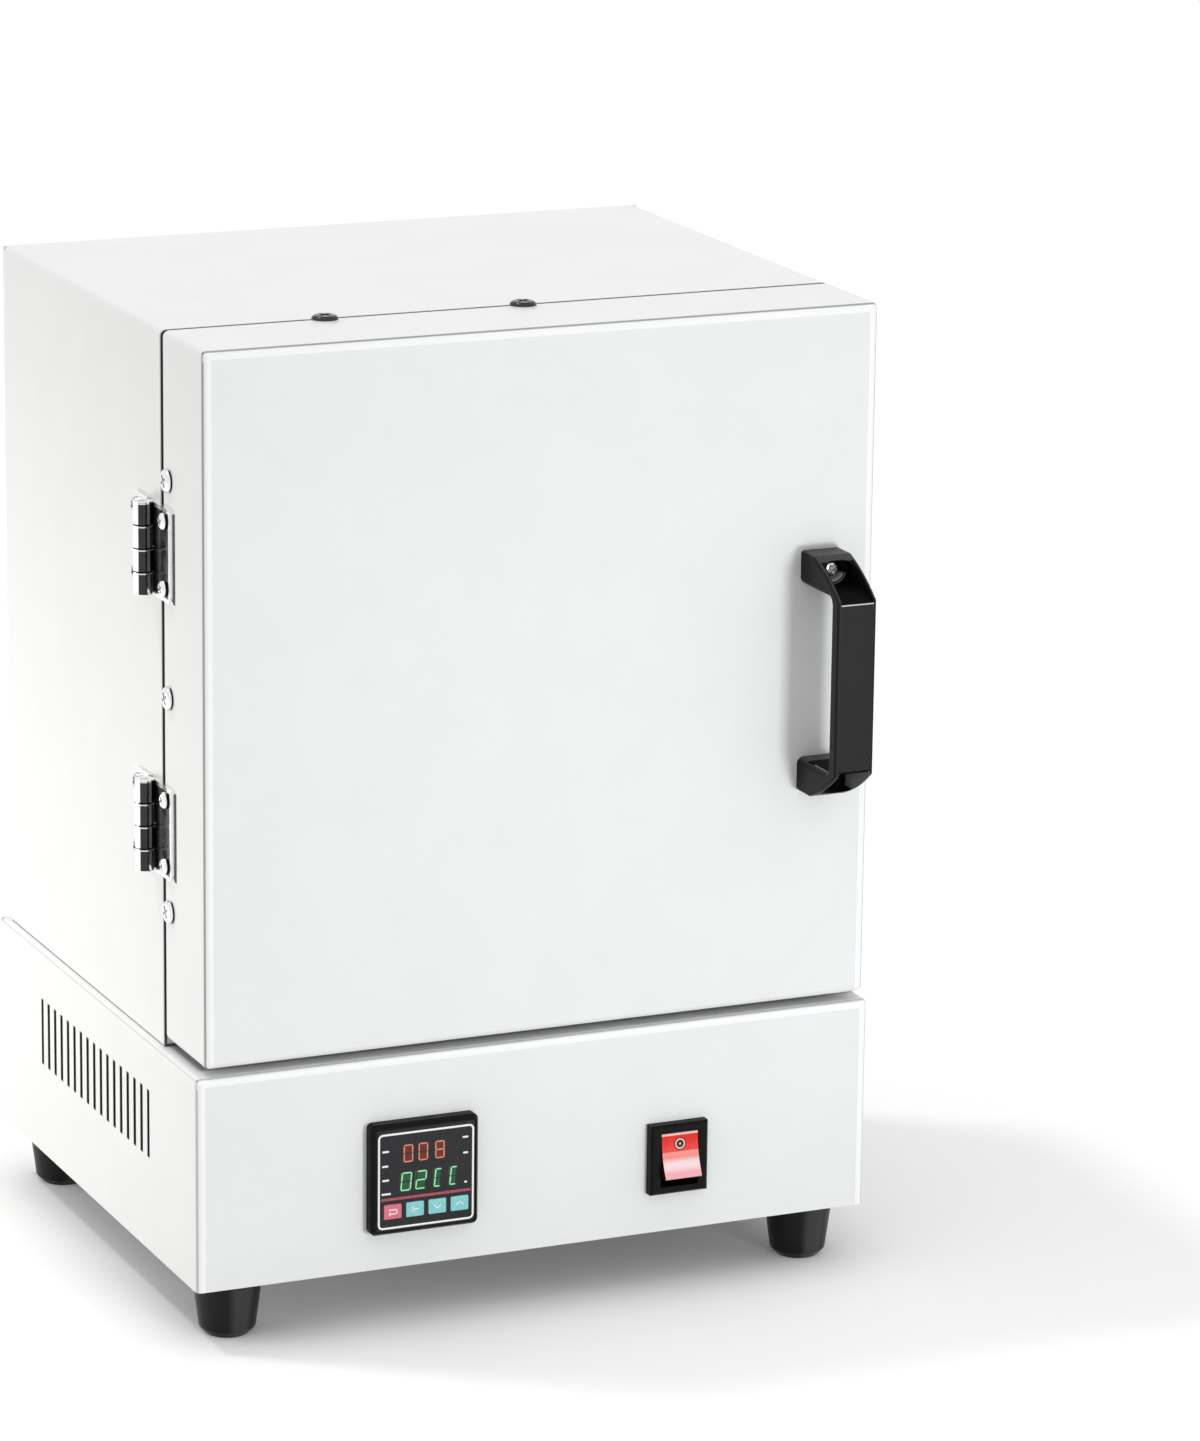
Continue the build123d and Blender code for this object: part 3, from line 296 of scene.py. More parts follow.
SOFT_EDGE = 0.5 * MM
FOLD_REACH = 5.0 * MM
FOLD_LINE = (-1.1 * MM, -0.2 * MM)
FOLD_BAND = (0.9 * MM, 3.6 * MM)
FOLD_CLEAR = (0.3 * MM, 0.9 * MM)
# Painted shade line and painted highlight band along each front fold
FOLD_PAINTED_SHADE = (0.20, 0.205, 0.205)
FOLD_PAINTED_HIGHLIGHT = grey(0.98)
DOOR_FOLD_WEIGHT = 0.80
BASE_FOLD_WEIGHT = 0.50
SKIN = 0.1 * MM
# Dark colour painted as the shade in the gaps round the door and on the base's top under the door
GAP_PAINTED_SHADE = grey(0.030)
DOOR_REAR_EDGE = (-0.45 * MM, -0.20 * MM)
CASING_FRONT_EDGE = (0.02 * MM, 0.15 * MM)
# Near-black painted shade: the shadow along each hinge leaf and the shade inside the vents
PAINTED_DEEP_SHADE = grey(0.008)
LEAF_SHADOW_WIDTH = 1.6 * MM
LEAF_SHADOW_TOP_GAP = 1.5 * MM
LEAF_SHADOW_SOFT = 0.35 * MM
# Painted shade on the casing: in the door gap and along its foot
RIM_GAP_SHADE = (0.36, 0.365, 0.365)
RIM_GAP_SHADE_EDGE = (0.9 * MM, 1.5 * MM)
FOOT_SHADE = grey(0.13)
FOOT_SHADE_EDGE = (0.35 * MM, 0.6 * MM)
# Painted shade line along the base's top left side
SIDE_LINE = (-1.5 * MM, -1.1 * MM)
SIDE_LINE_DEPTH = 0.5 * MM
SIDE_LINE_SOFT = 0.3 * MM
SIDE_LINE_WEIGHT = 0.30
# Painted shade on the base's top under the door
UNDER_DOOR_SHADE_FROM_SIDE = 4.0 * MM
UNDER_DOOR_SHADE_FROM_FRONT = 14.0 * MM
UNDER_DOOR_SHADE_SOFT = 4.0 * MM
UNDER_DOOR_SHADE_WEIGHT = 0.6
VENT_ROW_Y = (-51.8 * MM, 87.6 * MM)
VENT_ROW_Z = (67.3 * MM, 97.1 * MM)
VENT_FIRST = -50.55 * MM
VENT_PITCH = 8.56 * MM
VENT_EDGE = (1.52 * MM, 1.80 * MM)
VENT_SOFT = 0.2 * MM


def add_fold(finish, tone, side, front, clear, weight):
    """A thin painted shade line where a fold leaves its side face, then a painted highlight band round the turn.
    """
    offset = finish.maths("SUBTRACT", side, front)
    further = finish.maths("MAXIMUM", side, front)
    near = finish.falling(further, FOLD_REACH, FOLD_REACH + SOFT_EDGE)
    line = finish.within(offset, *FOLD_LINE, SOFT_EDGE)
    band = finish.within(offset, *FOLD_BAND, SOFT_EDGE)
    return finish.painted(
        tone, (finish.product(line, near, clear, weight), FOLD_PAINTED_SHADE),
        (finish.product(band, near, clear), FOLD_PAINTED_HIGHLIGHT),
    )


def folded_edges(finish, tone, node, weight):
    """Painted shade lines and highlight bands along the front folds of a box-shaped cover: at its top and both
    sides.
    """
    low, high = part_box(node)
    front = finish.inward("Y", low.y, 1.0)
    left, right = finish.inward("X", low.x, 1.0), finish.inward("X", high.x, -1.0)
    top = finish.inward("Z", high.z, -1.0)
    off_top = finish.rising(top, *FOLD_CLEAR)
    off_sides = finish.rising(finish.maths("MINIMUM", left, right), *FOLD_CLEAR)
    for side, clear in ((left, off_top), (right, off_top), (top, off_sides)):
        tone = add_fold(finish, tone, side, front, clear, weight)
    return tone


def door_shade_and_highlights(finish, tone):
    """Painted light of the door cover: shade lines and highlights along its folds, its rear edge painted dark as
    the shade in the gap, and a painted shadow line along each hinge leaf.
    """
    low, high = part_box("door_shell")
    tone = folded_edges(finish, tone, "door_shell", DOOR_FOLD_WEIGHT)
    for hinge in ("upper", "lower"):
        leaf_low, leaf_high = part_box(f"{hinge}_hinge_door_leaf")
        # Painted shadow of each hinge leaf on the door's side
        leaf_shadow = finish.inside({
            "X": (low.x - MM, low.x + SKIN),
            "Y": (leaf_low.y - LEAF_SHADOW_WIDTH, leaf_low.y + MM),
            "Z": (leaf_low.z, leaf_high.z - LEAF_SHADOW_TOP_GAP),
        }, LEAF_SHADOW_SOFT)
        tone = finish.blended(leaf_shadow, tone, PAINTED_DEEP_SHADE)
    # Rear edge painted dark as the shade in the gap to the casing
    rear = finish.rising(finish.axes["Y"], *past(high.y, DOOR_REAR_EDGE))
    return finish.blended(rear, tone, GAP_PAINTED_SHADE)


def casing_painted_shade(finish, tone):
    """The casing wrapper's front edge and the strip behind it painted dark as the shade in the door gap, and a
    painted shade line along its foot where it stands on the base.
    """
    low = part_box("casing_shell")[0]
    # Painted shade in the door gap and along the foot
    gap_strip = finish.falling(finish.axes["Y"], *past(low.y, RIM_GAP_SHADE_EDGE))
    front = finish.falling(finish.axes["Y"], *past(low.y, CASING_FRONT_EDGE))
    foot = finish.falling(finish.axes["Z"], *past(low.z, FOOT_SHADE_EDGE))
    return finish.painted(tone, (gap_strip, RIM_GAP_SHADE), (foot, FOOT_SHADE), (front, GAP_PAINTED_SHADE))


def base_shade_and_highlights(finish, tone):
    """Painted light of the base's cover: shade lines and highlights along its folds, painted shade inside its
    vents and along its top left side, and painted shade on its top under the door.
    """
    low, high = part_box("base_shell")
    door_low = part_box("door_shell")[0]
    tone = folded_edges(finish, tone, "base_shell", BASE_FOLD_WEIGHT)
    # Painted shade inside the vents
    row = finish.inside({"Y": VENT_ROW_Y, "Z": VENT_ROW_Z}, VENT_SOFT)
    slot = finish.falling(finish.from_row("Y", VENT_FIRST, VENT_PITCH), *VENT_EDGE)
    # Painted shade line along the top left side
    side_shade_line = finish.inside({
        "X": (low.x - MM, low.x + SIDE_LINE_DEPTH), "Z": past(high.z, SIDE_LINE),
    }, SIDE_LINE_SOFT)
    # Painted shade on the top under the door
    under_door = finish.inside({
        "X": (door_low.x + UNDER_DOOR_SHADE_FROM_SIDE, high.x), "Y": (door_low.y + UNDER_DOOR_SHADE_FROM_FRONT, high.y),
        "Z": (high.z - SKIN, high.z + MM),
    }, UNDER_DOOR_SHADE_SOFT)
    return finish.painted(
        tone, (finish.product(row, slot), PAINTED_DEEP_SHADE),
        (finish.product(side_shade_line, SIDE_LINE_WEIGHT), FOLD_PAINTED_SHADE),
        (finish.product(under_door, UNDER_DOOR_SHADE_WEIGHT), GAP_PAINTED_SHADE),
    )


def powder_coat(name, colour, grain, marks=None):
    """White powder coat: fine orange peel with a low, even gloss, under the painted shade and highlights that
    marks adds when given.
    """
    finish = Finish(name, IOR=1.5, Coat_Weight=0.05, Coat_Roughness=0.45)
    shade = finish.rising(finish.noise(grain * 60, detail=3.0), 0.35, 0.65)
    tone = finish.blended(shade, tinted(colour, 0.985), colour)
    # Painted shade and highlights from marks, when given
    finish.colour(marks(finish, tone) if marks else tone)
    finish.roughened(finish.noise(grain * 0.7, detail=1.0), 0.50, 0.64)
    finish.bump(finish.noise(grain * 3.2, detail=1.0), grain * 0.045)
    finish.bump(finish.noise(grain), grain * 0.05)
    return finish


def zinc_sheet(name, dark, pale):
    """Galvanised sheet: large faint crystals under a rolled grain."""
    finish = Finish(name, Metallic=1.0)
    crystals = finish.cells(0.009, output="Color")
    finish.colour(finish.blended(crystals, dark, pale))
    finish.rough(finish.ranged(crystals, 0.0, 1.0, 0.48, 0.60))
    finish.bump(finish.noise(0.0006, stretch=(1.0, 1.0, 0.08)), 0.000012)
    return finish


# Bare metals

METAL_RELIEF = 0.00001
DRAWN_OUT = (1.0, 1.0, 0.04)
# Where the screw heads carry a painted dark reflection
SCREW_FRONT = (-0.5, -0.2)
SCREW_SEAT = (-0.95 * MM, -0.65 * MM)
SCREW_DOME = (0.6 * MM, 1.0 * MM)
SCREW_DOME_WEIGHT = 0.95
# Painted highlight colour on the hinges
STEEL_HIGHLIGHT = (0.96, 0.96, 0.95)
BARREL_LEFT = (-3.05 * MM, -2.75 * MM)
BARREL_EDGE = (4.2 * MM, 4.5 * MM)
GLINT_X = (0.7 * MM, 1.8 * MM)
GLINT_Y = (-4.2 * MM, -3.2 * MM)
GLINT_SOFT = 0.25 * MM
LEAF_THICKNESS = 1.8 * MM
LEAF_FROM_AXIS = (-5.2 * MM, -4.6 * MM)
LEAF_EDGE = (1.3 * MM, 1.7 * MM)
LEAF_RIMS = (1.9 * MM, 1.8 * MM)
LEAF_RIM_SOFT = 0.3 * MM
LEAF_END = (-0.3 * MM, MM)
LEAF_END_SOFT = 0.1 * MM
LEVEL_SOFT = 0.2 * MM
KNUCKLE_COUNT = 4
KNUCKLE_SEAM = grey(0.006)
KNUCKLE_SEAM_EDGE = (0.25 * MM, 0.40 * MM)
KNUCKLE_LIP_DROP = 0.75 * MM
KNUCKLE_LIP_EDGE = (0.18 * MM, 0.32 * MM)
KNUCKLE_LIP_WEIGHT = 0.75
PALE_PLATE = (0.82, 0.82, 0.81)
PLATE_X = (2.5 * MM, 9.0 * MM)
PLATE_Y = (3.0 * MM, 40.0 * MM)
PLATE_SOFT = 0.3 * MM


def polished_steel():
    """Plated hardware: bright, with faint polishing lines and a few dull patches."""
    finish = Finish("polished_steel", Metallic=1.0, IOR=2.5)
    patches = finish.noise(0.006, detail=3.0)
    finish.colour(finish.blended(patches, (0.50, 0.50, 0.51), (0.66, 0.66, 0.67)))
    finish.roughened(patches, 0.10, 0.20)
    finish.bump(finish.noise(0.0012, detail=4.0, stretch=DRAWN_OUT), METAL_RELIEF)
    return finish


def screw_steel(name, shade, dark_reflection_part):
    """Plated screw heads: bright, with a painted dark reflection over the part that the given mask function picks.
    """
    finish = Finish(name, Metallic=1.0, IOR=2.5)
    patches = finish.noise(0.004, detail=3.0)
    tone = finish.blended(patches, grey(0.74), grey(0.90))
    finish.colour(finish.blended(dark_reflection_part(finish), tone, shade))
    finish.roughened(patches, 0.10, 0.20)
    finish.bump(finish.noise(0.0009, detail=3.0), METAL_RELIEF)
    return finish


def side_screw_steel(name, seat):
    """Screws in a left side: a painted dark reflection round the front of their seats."""
    return screw_steel(name, (0.020, 0.020, 0.021), lambda finish: finish.product(
        finish.falling(finish.facing["Y"], *SCREW_FRONT),
        finish.rising(finish.axes["X"], *past(seat, SCREW_SEAT)),
    ))


def top_screw_steel(name, seat):
    """Screws in a top: painted dark reflections on the domes, over bright rims."""
    return screw_steel(name, grey(0.012), lambda finish: finish.ranged(
        finish.axes["Z"], *past(seat, SCREW_DOME), 0.0, SCREW_DOME_WEIGHT
    ))


def dark_steel(name, steel_patches):
    """Blackened steel, with the painted highlights, dark joints and pale patches that the given function adds."""
    finish = Finish(name, Metallic=0.9)
    patches = finish.noise(0.005, detail=3.0)
    tone = finish.blended(patches, (0.024, 0.024, 0.025), (0.056, 0.056, 0.057))
    finish.colour(finish.painted(tone, *steel_patches(finish)))
    finish.roughened(patches, 0.14, 0.26)
    finish.bump(finish.noise(0.0010, detail=4.0, stretch=DRAWN_OUT), METAL_RELIEF)
    return finish


def hinge_highlights_and_joints(finish):
    """A hinge's painted highlights, on the barrel's left side and a glint on its front, along the leaf's front
    edge, top and bottom and just below each joint between knuckles; and the dark joints between the knuckles.
    """
    axis = joint_place("door_hinge")
    x, y, z = (finish.axes[name] for name in "XYZ")
    # Painted highlight on the barrel's left side and a painted glint on its front
    beside = finish.falling(x, *past(axis.x, BARREL_LEFT))
    glint = finish.inside(
        {"X": past(axis.x, GLINT_X), "Y": past(axis.y, GLINT_Y)}, GLINT_SOFT
    )
    barrel = finish.falling(finish.from_line("XY", axis.xy), *BARREL_EDGE)
    patches = [(beside, STEEL_HIGHLIGHT), (finish.product(glint, barrel), STEEL_HIGHLIGHT)]
    for hinge in ("upper", "lower"):
        low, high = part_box(f"{hinge}_hinge_door_leaf")
        level = finish.within(z, low.z - MM, high.z + MM, LEVEL_SOFT)
        leaf = finish.falling(y, *past(axis.y, LEAF_FROM_AXIS))
        edge = finish.falling(y, *past(low.y, LEAF_EDGE))
        between = finish.within(z, low.z + LEAF_RIMS[0], high.z - LEAF_RIMS[1], LEAF_RIM_SOFT)
        rims = finish.opposite(between)
        middle, half = (low.z + high.z) / 2, (high.z - low.z) / 2
        ends = finish.within(finish.away("Z", middle), *past(half, LEAF_END), LEAF_END_SOFT)
        pitch = 2 * half / KNUCKLE_COUNT
        seams = finish.falling(finish.from_row("Z", middle, pitch), *KNUCKLE_SEAM_EDGE)
        under = finish.from_row("Z", middle - KNUCKLE_LIP_DROP, pitch)
        lips = finish.falling(under, *KNUCKLE_LIP_EDGE)
        # Painted highlights on the leaf and knuckles, and the dark joints between knuckles
        patches += [
            (finish.product(level, edge), STEEL_HIGHLIGHT), (finish.product(level, leaf, rims), STEEL_HIGHLIGHT),
            (finish.product(level, barrel, lips, KNUCKLE_LIP_WEIGHT), STEEL_HIGHLIGHT),
            (finish.product(level, barrel, seams), KNUCKLE_SEAM), (ends, STEEL_HIGHLIGHT),
        ]
    return patches


def casing_leaf_plate_and_highlights(finish):
    """The casing's leaves: their plates are pale, with the hinge's painted highlights and dark knuckle joints."""
    axis = joint_place("door_hinge")
    plate = finish.inside(
        {"X": past(axis.x, PLATE_X), "Y": past(axis.y, PLATE_Y)}, PLATE_SOFT
    )
    return [(plate, PALE_PLATE)] + hinge_highlights_and_joints(finish)


def plain_metal(name, low, high, roughness):
    """Brass, aluminium or magnet: one metal with a drifting tone."""
    finish = Finish(name, Metallic=1.0)
    tone = finish.noise(0.004, detail=3.0)
    finish.colour(finish.blended(tone, low, high))
    finish.roughened(tone, roughness - 0.06, roughness + 0.06)
    finish.bump(finish.noise(0.0007, detail=3.0), 0.000008)
    return finish


def resistance_wire():
    """Oxidised resistance wire: dull brown-grey, blotchy along its length."""
    finish = Finish("resistance_wire", Metallic=0.85)
    blotches = finish.noise(0.004, detail=4.0)
    finish.colour(finish.blended(blotches, (0.10, 0.085, 0.075), (0.27, 0.24, 0.21)))
    finish.roughened(blotches, 0.45, 0.65)
    return finish


# Plastics and rubber

HANDLE_LIP = 15.6 * MM
HANDLE_WALL = 1.4 * MM
HANDLE_SCREW_DROP = 6.4 * MM
HANDLE_SOFT = 0.2 * MM
POCKET_END = 2.0 * MM
POCKET_BACK = 8.0 * MM
POCKET_ROUGHNESS = 0.9
LIP_INSET = 1.6 * MM
LIP_LEVEL = (-0.5 * MM, -0.2 * MM)
LIP_SOFT = 0.25 * MM
# Painted highlights: two arc lines under the screw
LIT_ARCS = ((4.5 * MM, 0.9), (5.7 * MM, 0.4))
ARC_WIDTH = 0.45 * MM
ARC_LEVEL = (-2.5 * MM, -MM)
ARC_DEPTH = (-18.0 * MM, -16.0 * MM)
RIM_INSET = (-2.0 * MM, -1.6 * MM)
RIM_BACK = 14.0 * MM
RIM_SOFT = 0.3 * MM
RIM_WEIGHT = 0.7
ROCKER_BREAK = 3.6 * MM
ROCKER_BREAK_SOFT = 0.4 * MM
ROCKER_PALE = (-4.0 * MM, 1.0 * MM)
ROCKER_SHEEN = (-2.6 * MM, -1.5 * MM)
ROCKER_SHEEN_SOFT = 3.0 * MM
ROCKER_SHEEN_WEIGHT = 0.85
ROCKER_SIDE = 0.6 * MM
ROCKER_SIDE_SOFT = 0.2 * MM
ROCKER_TOP = (-1.1 * MM, -0.7 * MM)
ROCKER_EDGE_WEIGHT = 0.8
RING_RISE = 6.67 * MM
RING_RADIUS = 2.25 * MM
RING_SOFT = (0.35 * MM, 0.6 * MM)


def moulded_plastic(name, colour, roughness, grain, relief, gloss=0.5):
    """Moulded plastic: fine spark-erosion texture and a slightly drifting tone."""
    finish = Finish(name, IOR=1.46, Specular_IOR_Level=gloss)
    drift = finish.noise(0.012)
    finish.colour(finish.blended(drift, tinted(colour, 0.88), tinted(colour, 1.12)))
    speckle = finish.noise(grain)
    finish.roughened(speckle, roughness - 0.05, roughness + 0.05)
    finish.bump(speckle, relief)
    return finish


def handle_plastic():
    """The handle's moulding: painted light on faces that look up, painted shade on its sides and in its recesses,
    and painted highlights on the grip's upper front lip, along the lower recess and on two arc lines under the
    screw.
    """
    finish = Finish("handle_plastic", IOR=1.46, Specular_IOR_Level=0.12)
    low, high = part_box("handle")
    tone = finish.blended(finish.noise(0.012), (0.010, 0.010, 0.0105), (0.016, 0.016, 0.0165))
    lit_top = finish.rising(finish.facing["Z"], 0.45, 0.95)
    wells = finish.opposite(finish.within(
        finish.axes["Z"], low.z + HANDLE_LIP + MM, high.z - HANDLE_LIP - MM, HANDLE_SOFT
    ))
    shaded_pocket = finish.product(wells, finish.inside({
        "X": (low.x + HANDLE_WALL, high.x - HANDLE_WALL), "Y": (low.y, high.y - POCKET_BACK),
        "Z": (low.z + POCKET_END, high.z - POCKET_END),
    }, HANDLE_SOFT))
    lip_highlight = finish.inside({
        "X": (low.x + LIP_INSET, high.x - LIP_INSET), "Y": (low.y - MM, low.y + LIP_INSET),
        "Z": past(high.z - HANDLE_LIP, LIP_LEVEL),
    }, LIP_SOFT)
    screw_x, screw_z = (low.x + high.x) / 2, high.z - HANDLE_SCREW_DROP
    ring = finish.from_line("XZ", (screw_x, screw_z))
    under = finish.falling(finish.axes["Z"], *past(screw_z, ARC_LEVEL))
    deep = finish.rising(finish.axes["Y"], *past(high.y, ARC_DEPTH))
    arc_highlights = [
        finish.product(
            finish.within(ring, radius, radius + ARC_WIDTH, HANDLE_SOFT), under, deep, weight
        )
        for radius, weight in LIT_ARCS
    ]
    half = (high.x - low.x) / 2
    rim_highlight = finish.product(
        finish.within(finish.away("X", screw_x), *past(half, RIM_INSET), HANDLE_SOFT),
        finish.inside(
            {"Y": (low.y, high.y - RIM_BACK), "Z": (low.z, low.z + HANDLE_LIP)}, RIM_SOFT
        ),
    )
    # Painted light on top faces, painted shade on sides and in the recesses, painted highlights on the front lip,
    # the lower recess and the arc lines
    finish.colour(finish.painted(
        tone, (finish.sideways(0.6, 0.85), grey(0.004)), (lit_top, grey(0.055)),
        (shaded_pocket, grey(0.002)), (lip_highlight, grey(0.62)), (finish.product(rim_highlight, RIM_WEIGHT), grey(0.30)),
        *[(arc, grey(0.60)) for arc in arc_highlights],
    ))
    speckle = finish.noise(0.0005)
    satin = finish.ranged(speckle, *NOISE_SPAN, 0.33, 0.43)
    finish.rough(finish.maths("MAXIMUM", satin, finish.product(shaded_pocket, POCKET_ROUGHNESS)))
    finish.bump(speckle, 0.00002)
    return finish


def moulded_rubber():
    """Rubber of the feet: deep black with a soft bloom and fine mould marks, and a painted highlight on the faces
    that look forward and a little to the right.
    """
    finish = Finish("moulded_rubber", IOR=1.5, Specular_IOR_Level=0.22)
    bloom = finish.noise(0.010, detail=4.0)
    # Painted highlight on the faces that look forward and a little to the right
    front = finish.falling(finish.facing["Y"], -0.7, -0.3)
    flat = finish.within(finish.facing["X"], -0.05, 0.30, 0.30)
    finish.colour(finish.painted(
        finish.blended(bloom, grey(0.002), grey(0.005)),
        (finish.product(front, flat), (0.042, 0.043, 0.043)),
    ))
    finish.roughened(bloom, 0.30, 0.42)
    finish.bump(finish.noise(0.0008), 0.00002)
    return finish


def rocker_plastic(colour):
    """Translucent rocker with a faint painted glow: deep red above, a painted pale sheen on its lower half,
    painted highlights along the lower half's sides and its top, painted shade on its side faces, and the print of
    its ring.
    """
    finish = Finish("rocker_plastic", IOR=1.5, Specular_IOR_Level=0.20, Emission_Strength=0.06)
    low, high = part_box("switch_rocker")
    pivot = joint_place("power_rocker_tilt")
    drift = finish.noise(0.006)
    tone = finish.blended(drift, tinted(colour, 0.90), colour)
    height = finish.inward("Z", pivot.z, 1.0)
    lower = finish.falling(height, ROCKER_BREAK - ROCKER_BREAK_SOFT, ROCKER_BREAK)
    pale = finish.falling(height, *ROCKER_PALE)
    # Painted pale sheen on the lower half
    lower_sheen = finish.blended(pale, (0.84, 0.26, 0.23), (0.86, 0.42, 0.46))
    sheen = finish.product(
        finish.within(height, *ROCKER_SHEEN, ROCKER_SHEEN_SOFT), ROCKER_SHEEN_WEIGHT
    )
    lower_sheen = finish.blended(sheen, lower_sheen, (0.90, 0.74, 0.76))
    edge_highlights = finish.opposite(finish.within(
        finish.axes["X"], low.x + ROCKER_SIDE, high.x - ROCKER_SIDE, ROCKER_SIDE_SOFT
    ))
    top = finish.rising(finish.axes["Z"], *past(high.z, ROCKER_TOP))
    ring = finish.from_line("XZ", (pivot.x, pivot.z + RING_RISE))
    within_ring = finish.falling(ring, *past(RING_RADIUS, RING_SOFT))
    dot = finish.falling(ring, *RING_SOFT)
    # Painted sheen and highlights, painted shade on the side faces, and the printed ring
    tone = finish.painted(
        tone, (lower, lower_sheen),
        (finish.product(lower, edge_highlights, ROCKER_EDGE_WEIGHT), (0.95, 0.88, 0.86)),
        (finish.product(top, ROCKER_EDGE_WEIGHT), (0.92, 0.72, 0.70)),
        (within_ring, (0.045, 0.003, 0.003)), (dot, (0.75, 0.50, 0.48)),
        (finish.sideways(0.5, 0.8), (0.030, 0.003, 0.003)),
    )
    finish.colour(tone)
    # Faint painted glow in the surface's own colour
    finish.glow(tone)
    finish.roughened(drift, 0.20, 0.30)
    return finish


def key_film(name, colour):
    """Embossed key film: satin, with a slightly uneven print."""
    finish = Finish(name, Coat_Weight=0.25, Coat_Roughness=0.25)
    print_noise = finish.noise(0.0016, detail=3.0)
    finish.colour(finish.blended(print_noise, tinted(colour, 0.82), tinted(colour, 1.18)))
    finish.roughened(print_noise, 0.30, 0.42)
    return finish


# Ceramics

def fibre_board():
    """Vacuum-formed ceramic fibre: off-white, matted strands and small pits."""
    finish = Finish("fibre_board", IOR=1.3, Specular_IOR_Level=0.15, Roughness=0.95)
    strands = finish.noise(0.0016, detail=6.0, roughness=0.7, distortion=1.2)
    base = finish.blended(finish.rising(strands, *NOISE_SPAN), (0.66, 0.62, 0.54), (0.84, 0.81, 0.74))
    stains = finish.ranged(finish.noise(0.045, detail=3.0), 0.45, 0.75, 0.0, 0.55)
    finish.colour(finish.blended(stains, base, (0.63, 0.55, 0.43)))
    finish.bump(finish.noise(0.004, detail=4.0, roughness=0.6), 0.00035)
    finish.bump(strands, 0.00022)
    return finish


def fired_ceramic(name, pale, dark, speck, roughness):
    """Fired ceramic: even body with small dark specks and a granular surface."""
    finish = Finish(name, IOR=1.5, Roughness=roughness)
    grain = finish.noise(speck * 2.0, detail=4.0)
    body = finish.blended(grain, tinted(pale, 0.93), pale)
    specks = finish.falling(finish.cells(speck * 3.0), 0.10, 0.22)
    finish.colour(finish.blended(specks, body, dark))
    finish.bump(grain, speck * 0.12)
    return finish


# Print and light of the controller

GLOW_SOFT = 0.9 * MM


def lit_figures(name, core, strength):
    """Lit figure: bright strokes that give their own light."""
    finish = Finish(name, Roughness=0.4, Emission_Strength=strength)
    flicker = finish.rising(finish.noise(0.0012, detail=1.0), *NOISE_SPAN)
    tone = finish.blended(flicker, tinted(core, 0.82), core)
    finish.colour(tone)
    finish.glow(tone)
    return finish


def unlit_figures():
    """Strokes of the figures that aren't lit, just visible in the dark window."""
    finish = Finish("unlit_figures", Roughness=0.35, Specular_IOR_Level=0.2)
    finish.colour(finish.blended(finish.noise(0.002), (0.018, 0.014, 0.015), (0.026, 0.019, 0.021)))
    return finish


def printed_ink(name, colour, roughness=0.45):
    """Screen-printed ink with a slightly uneven film."""
    finish = Finish(name)
    film = finish.noise(0.0009)
    finish.colour(finish.blended(film, tinted(colour, 0.90), tinted(colour, 1.04)))
    finish.roughened(film, roughness - 0.06, roughness + 0.06)
    return finish


def smoked_window(glows):
    """Dark glossy face, with a soft glow of light behind each lit figure."""
    finish = Finish(
        "smoked_window", IOR=1.5, Roughness=0.20, Specular_IOR_Level=0.25, Emission_Strength=1.0
    )
    finish.colour(finish.blended(finish.noise(0.02), (0.013, 0.013, 0.015), (0.019, 0.019, 0.022)))
    glow = grey(0.0)
    for x, z, width, height, light in glows:
        box = {"X": (x - width / 2, x + width / 2), "Z": (z - height / 2, z + height / 2)}
        glow = finish.blended(finish.inside(box, GLOW_SOFT), glow, light)
    finish.glow(glow)
    return finish


# Mesh helpers

def mesh_from(name, builder, smooth=False):
    """Close a bmesh into a mesh with its faces turned outwards."""
    bmesh.ops.recalc_face_normals(builder, faces=builder.faces)
    mesh = bpy.data.meshes.new(name)
    builder.to_mesh(mesh)
    builder.free()
    for polygon in mesh.polygons:
        polygon.use_smooth = smooth
    return mesh


def new_piece(name, builder, finish, body="kiln_body", smooth=False):
    """Turn a bmesh into a piece that rides on a body."""
    mesh = mesh_from(name, builder, smooth)
    piece = bpy.data.objects.new(name, mesh)
    bpy.context.scene.collection.objects.link(piece)
    mesh.materials.append(finish.material)
    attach(piece, body)
    return piece


def add_sides(builder, first, second):
    """Faces between two loops of as many points."""
    count = len(first)
    for index in range(count):
        after = (index + 1) % count
        builder.faces.new((first[index], first[after], second[after], second[index]))


def add_plate(builder, outline, place):
    """A closed plate whose outline is points (u, v) and whose place gives (u, v, depth) in space."""
    front = [builder.verts.new(place(u, v, 1.0)) for u, v in outline]
    back = [builder.verts.new(place(u, v, 0.0)) for u, v in outline]
    builder.faces.new(front)
    builder.faces.new(list(reversed(back)))
    add_sides(builder, back, front)


def add_band(builder, inner, outer, place):
    """A closed ring between two outlines with the same number of points."""
    loops = [
        [builder.verts.new(place(u, v, depth)) for u, v in outline]
        for outline, depth in ((outer, 1.0), (inner, 1.0), (inner, 0.0), (outer, 0.0))
    ]
    for first, second in zip(loops, loops[1:] + loops[:1]):
        add_sides(builder, first, second)


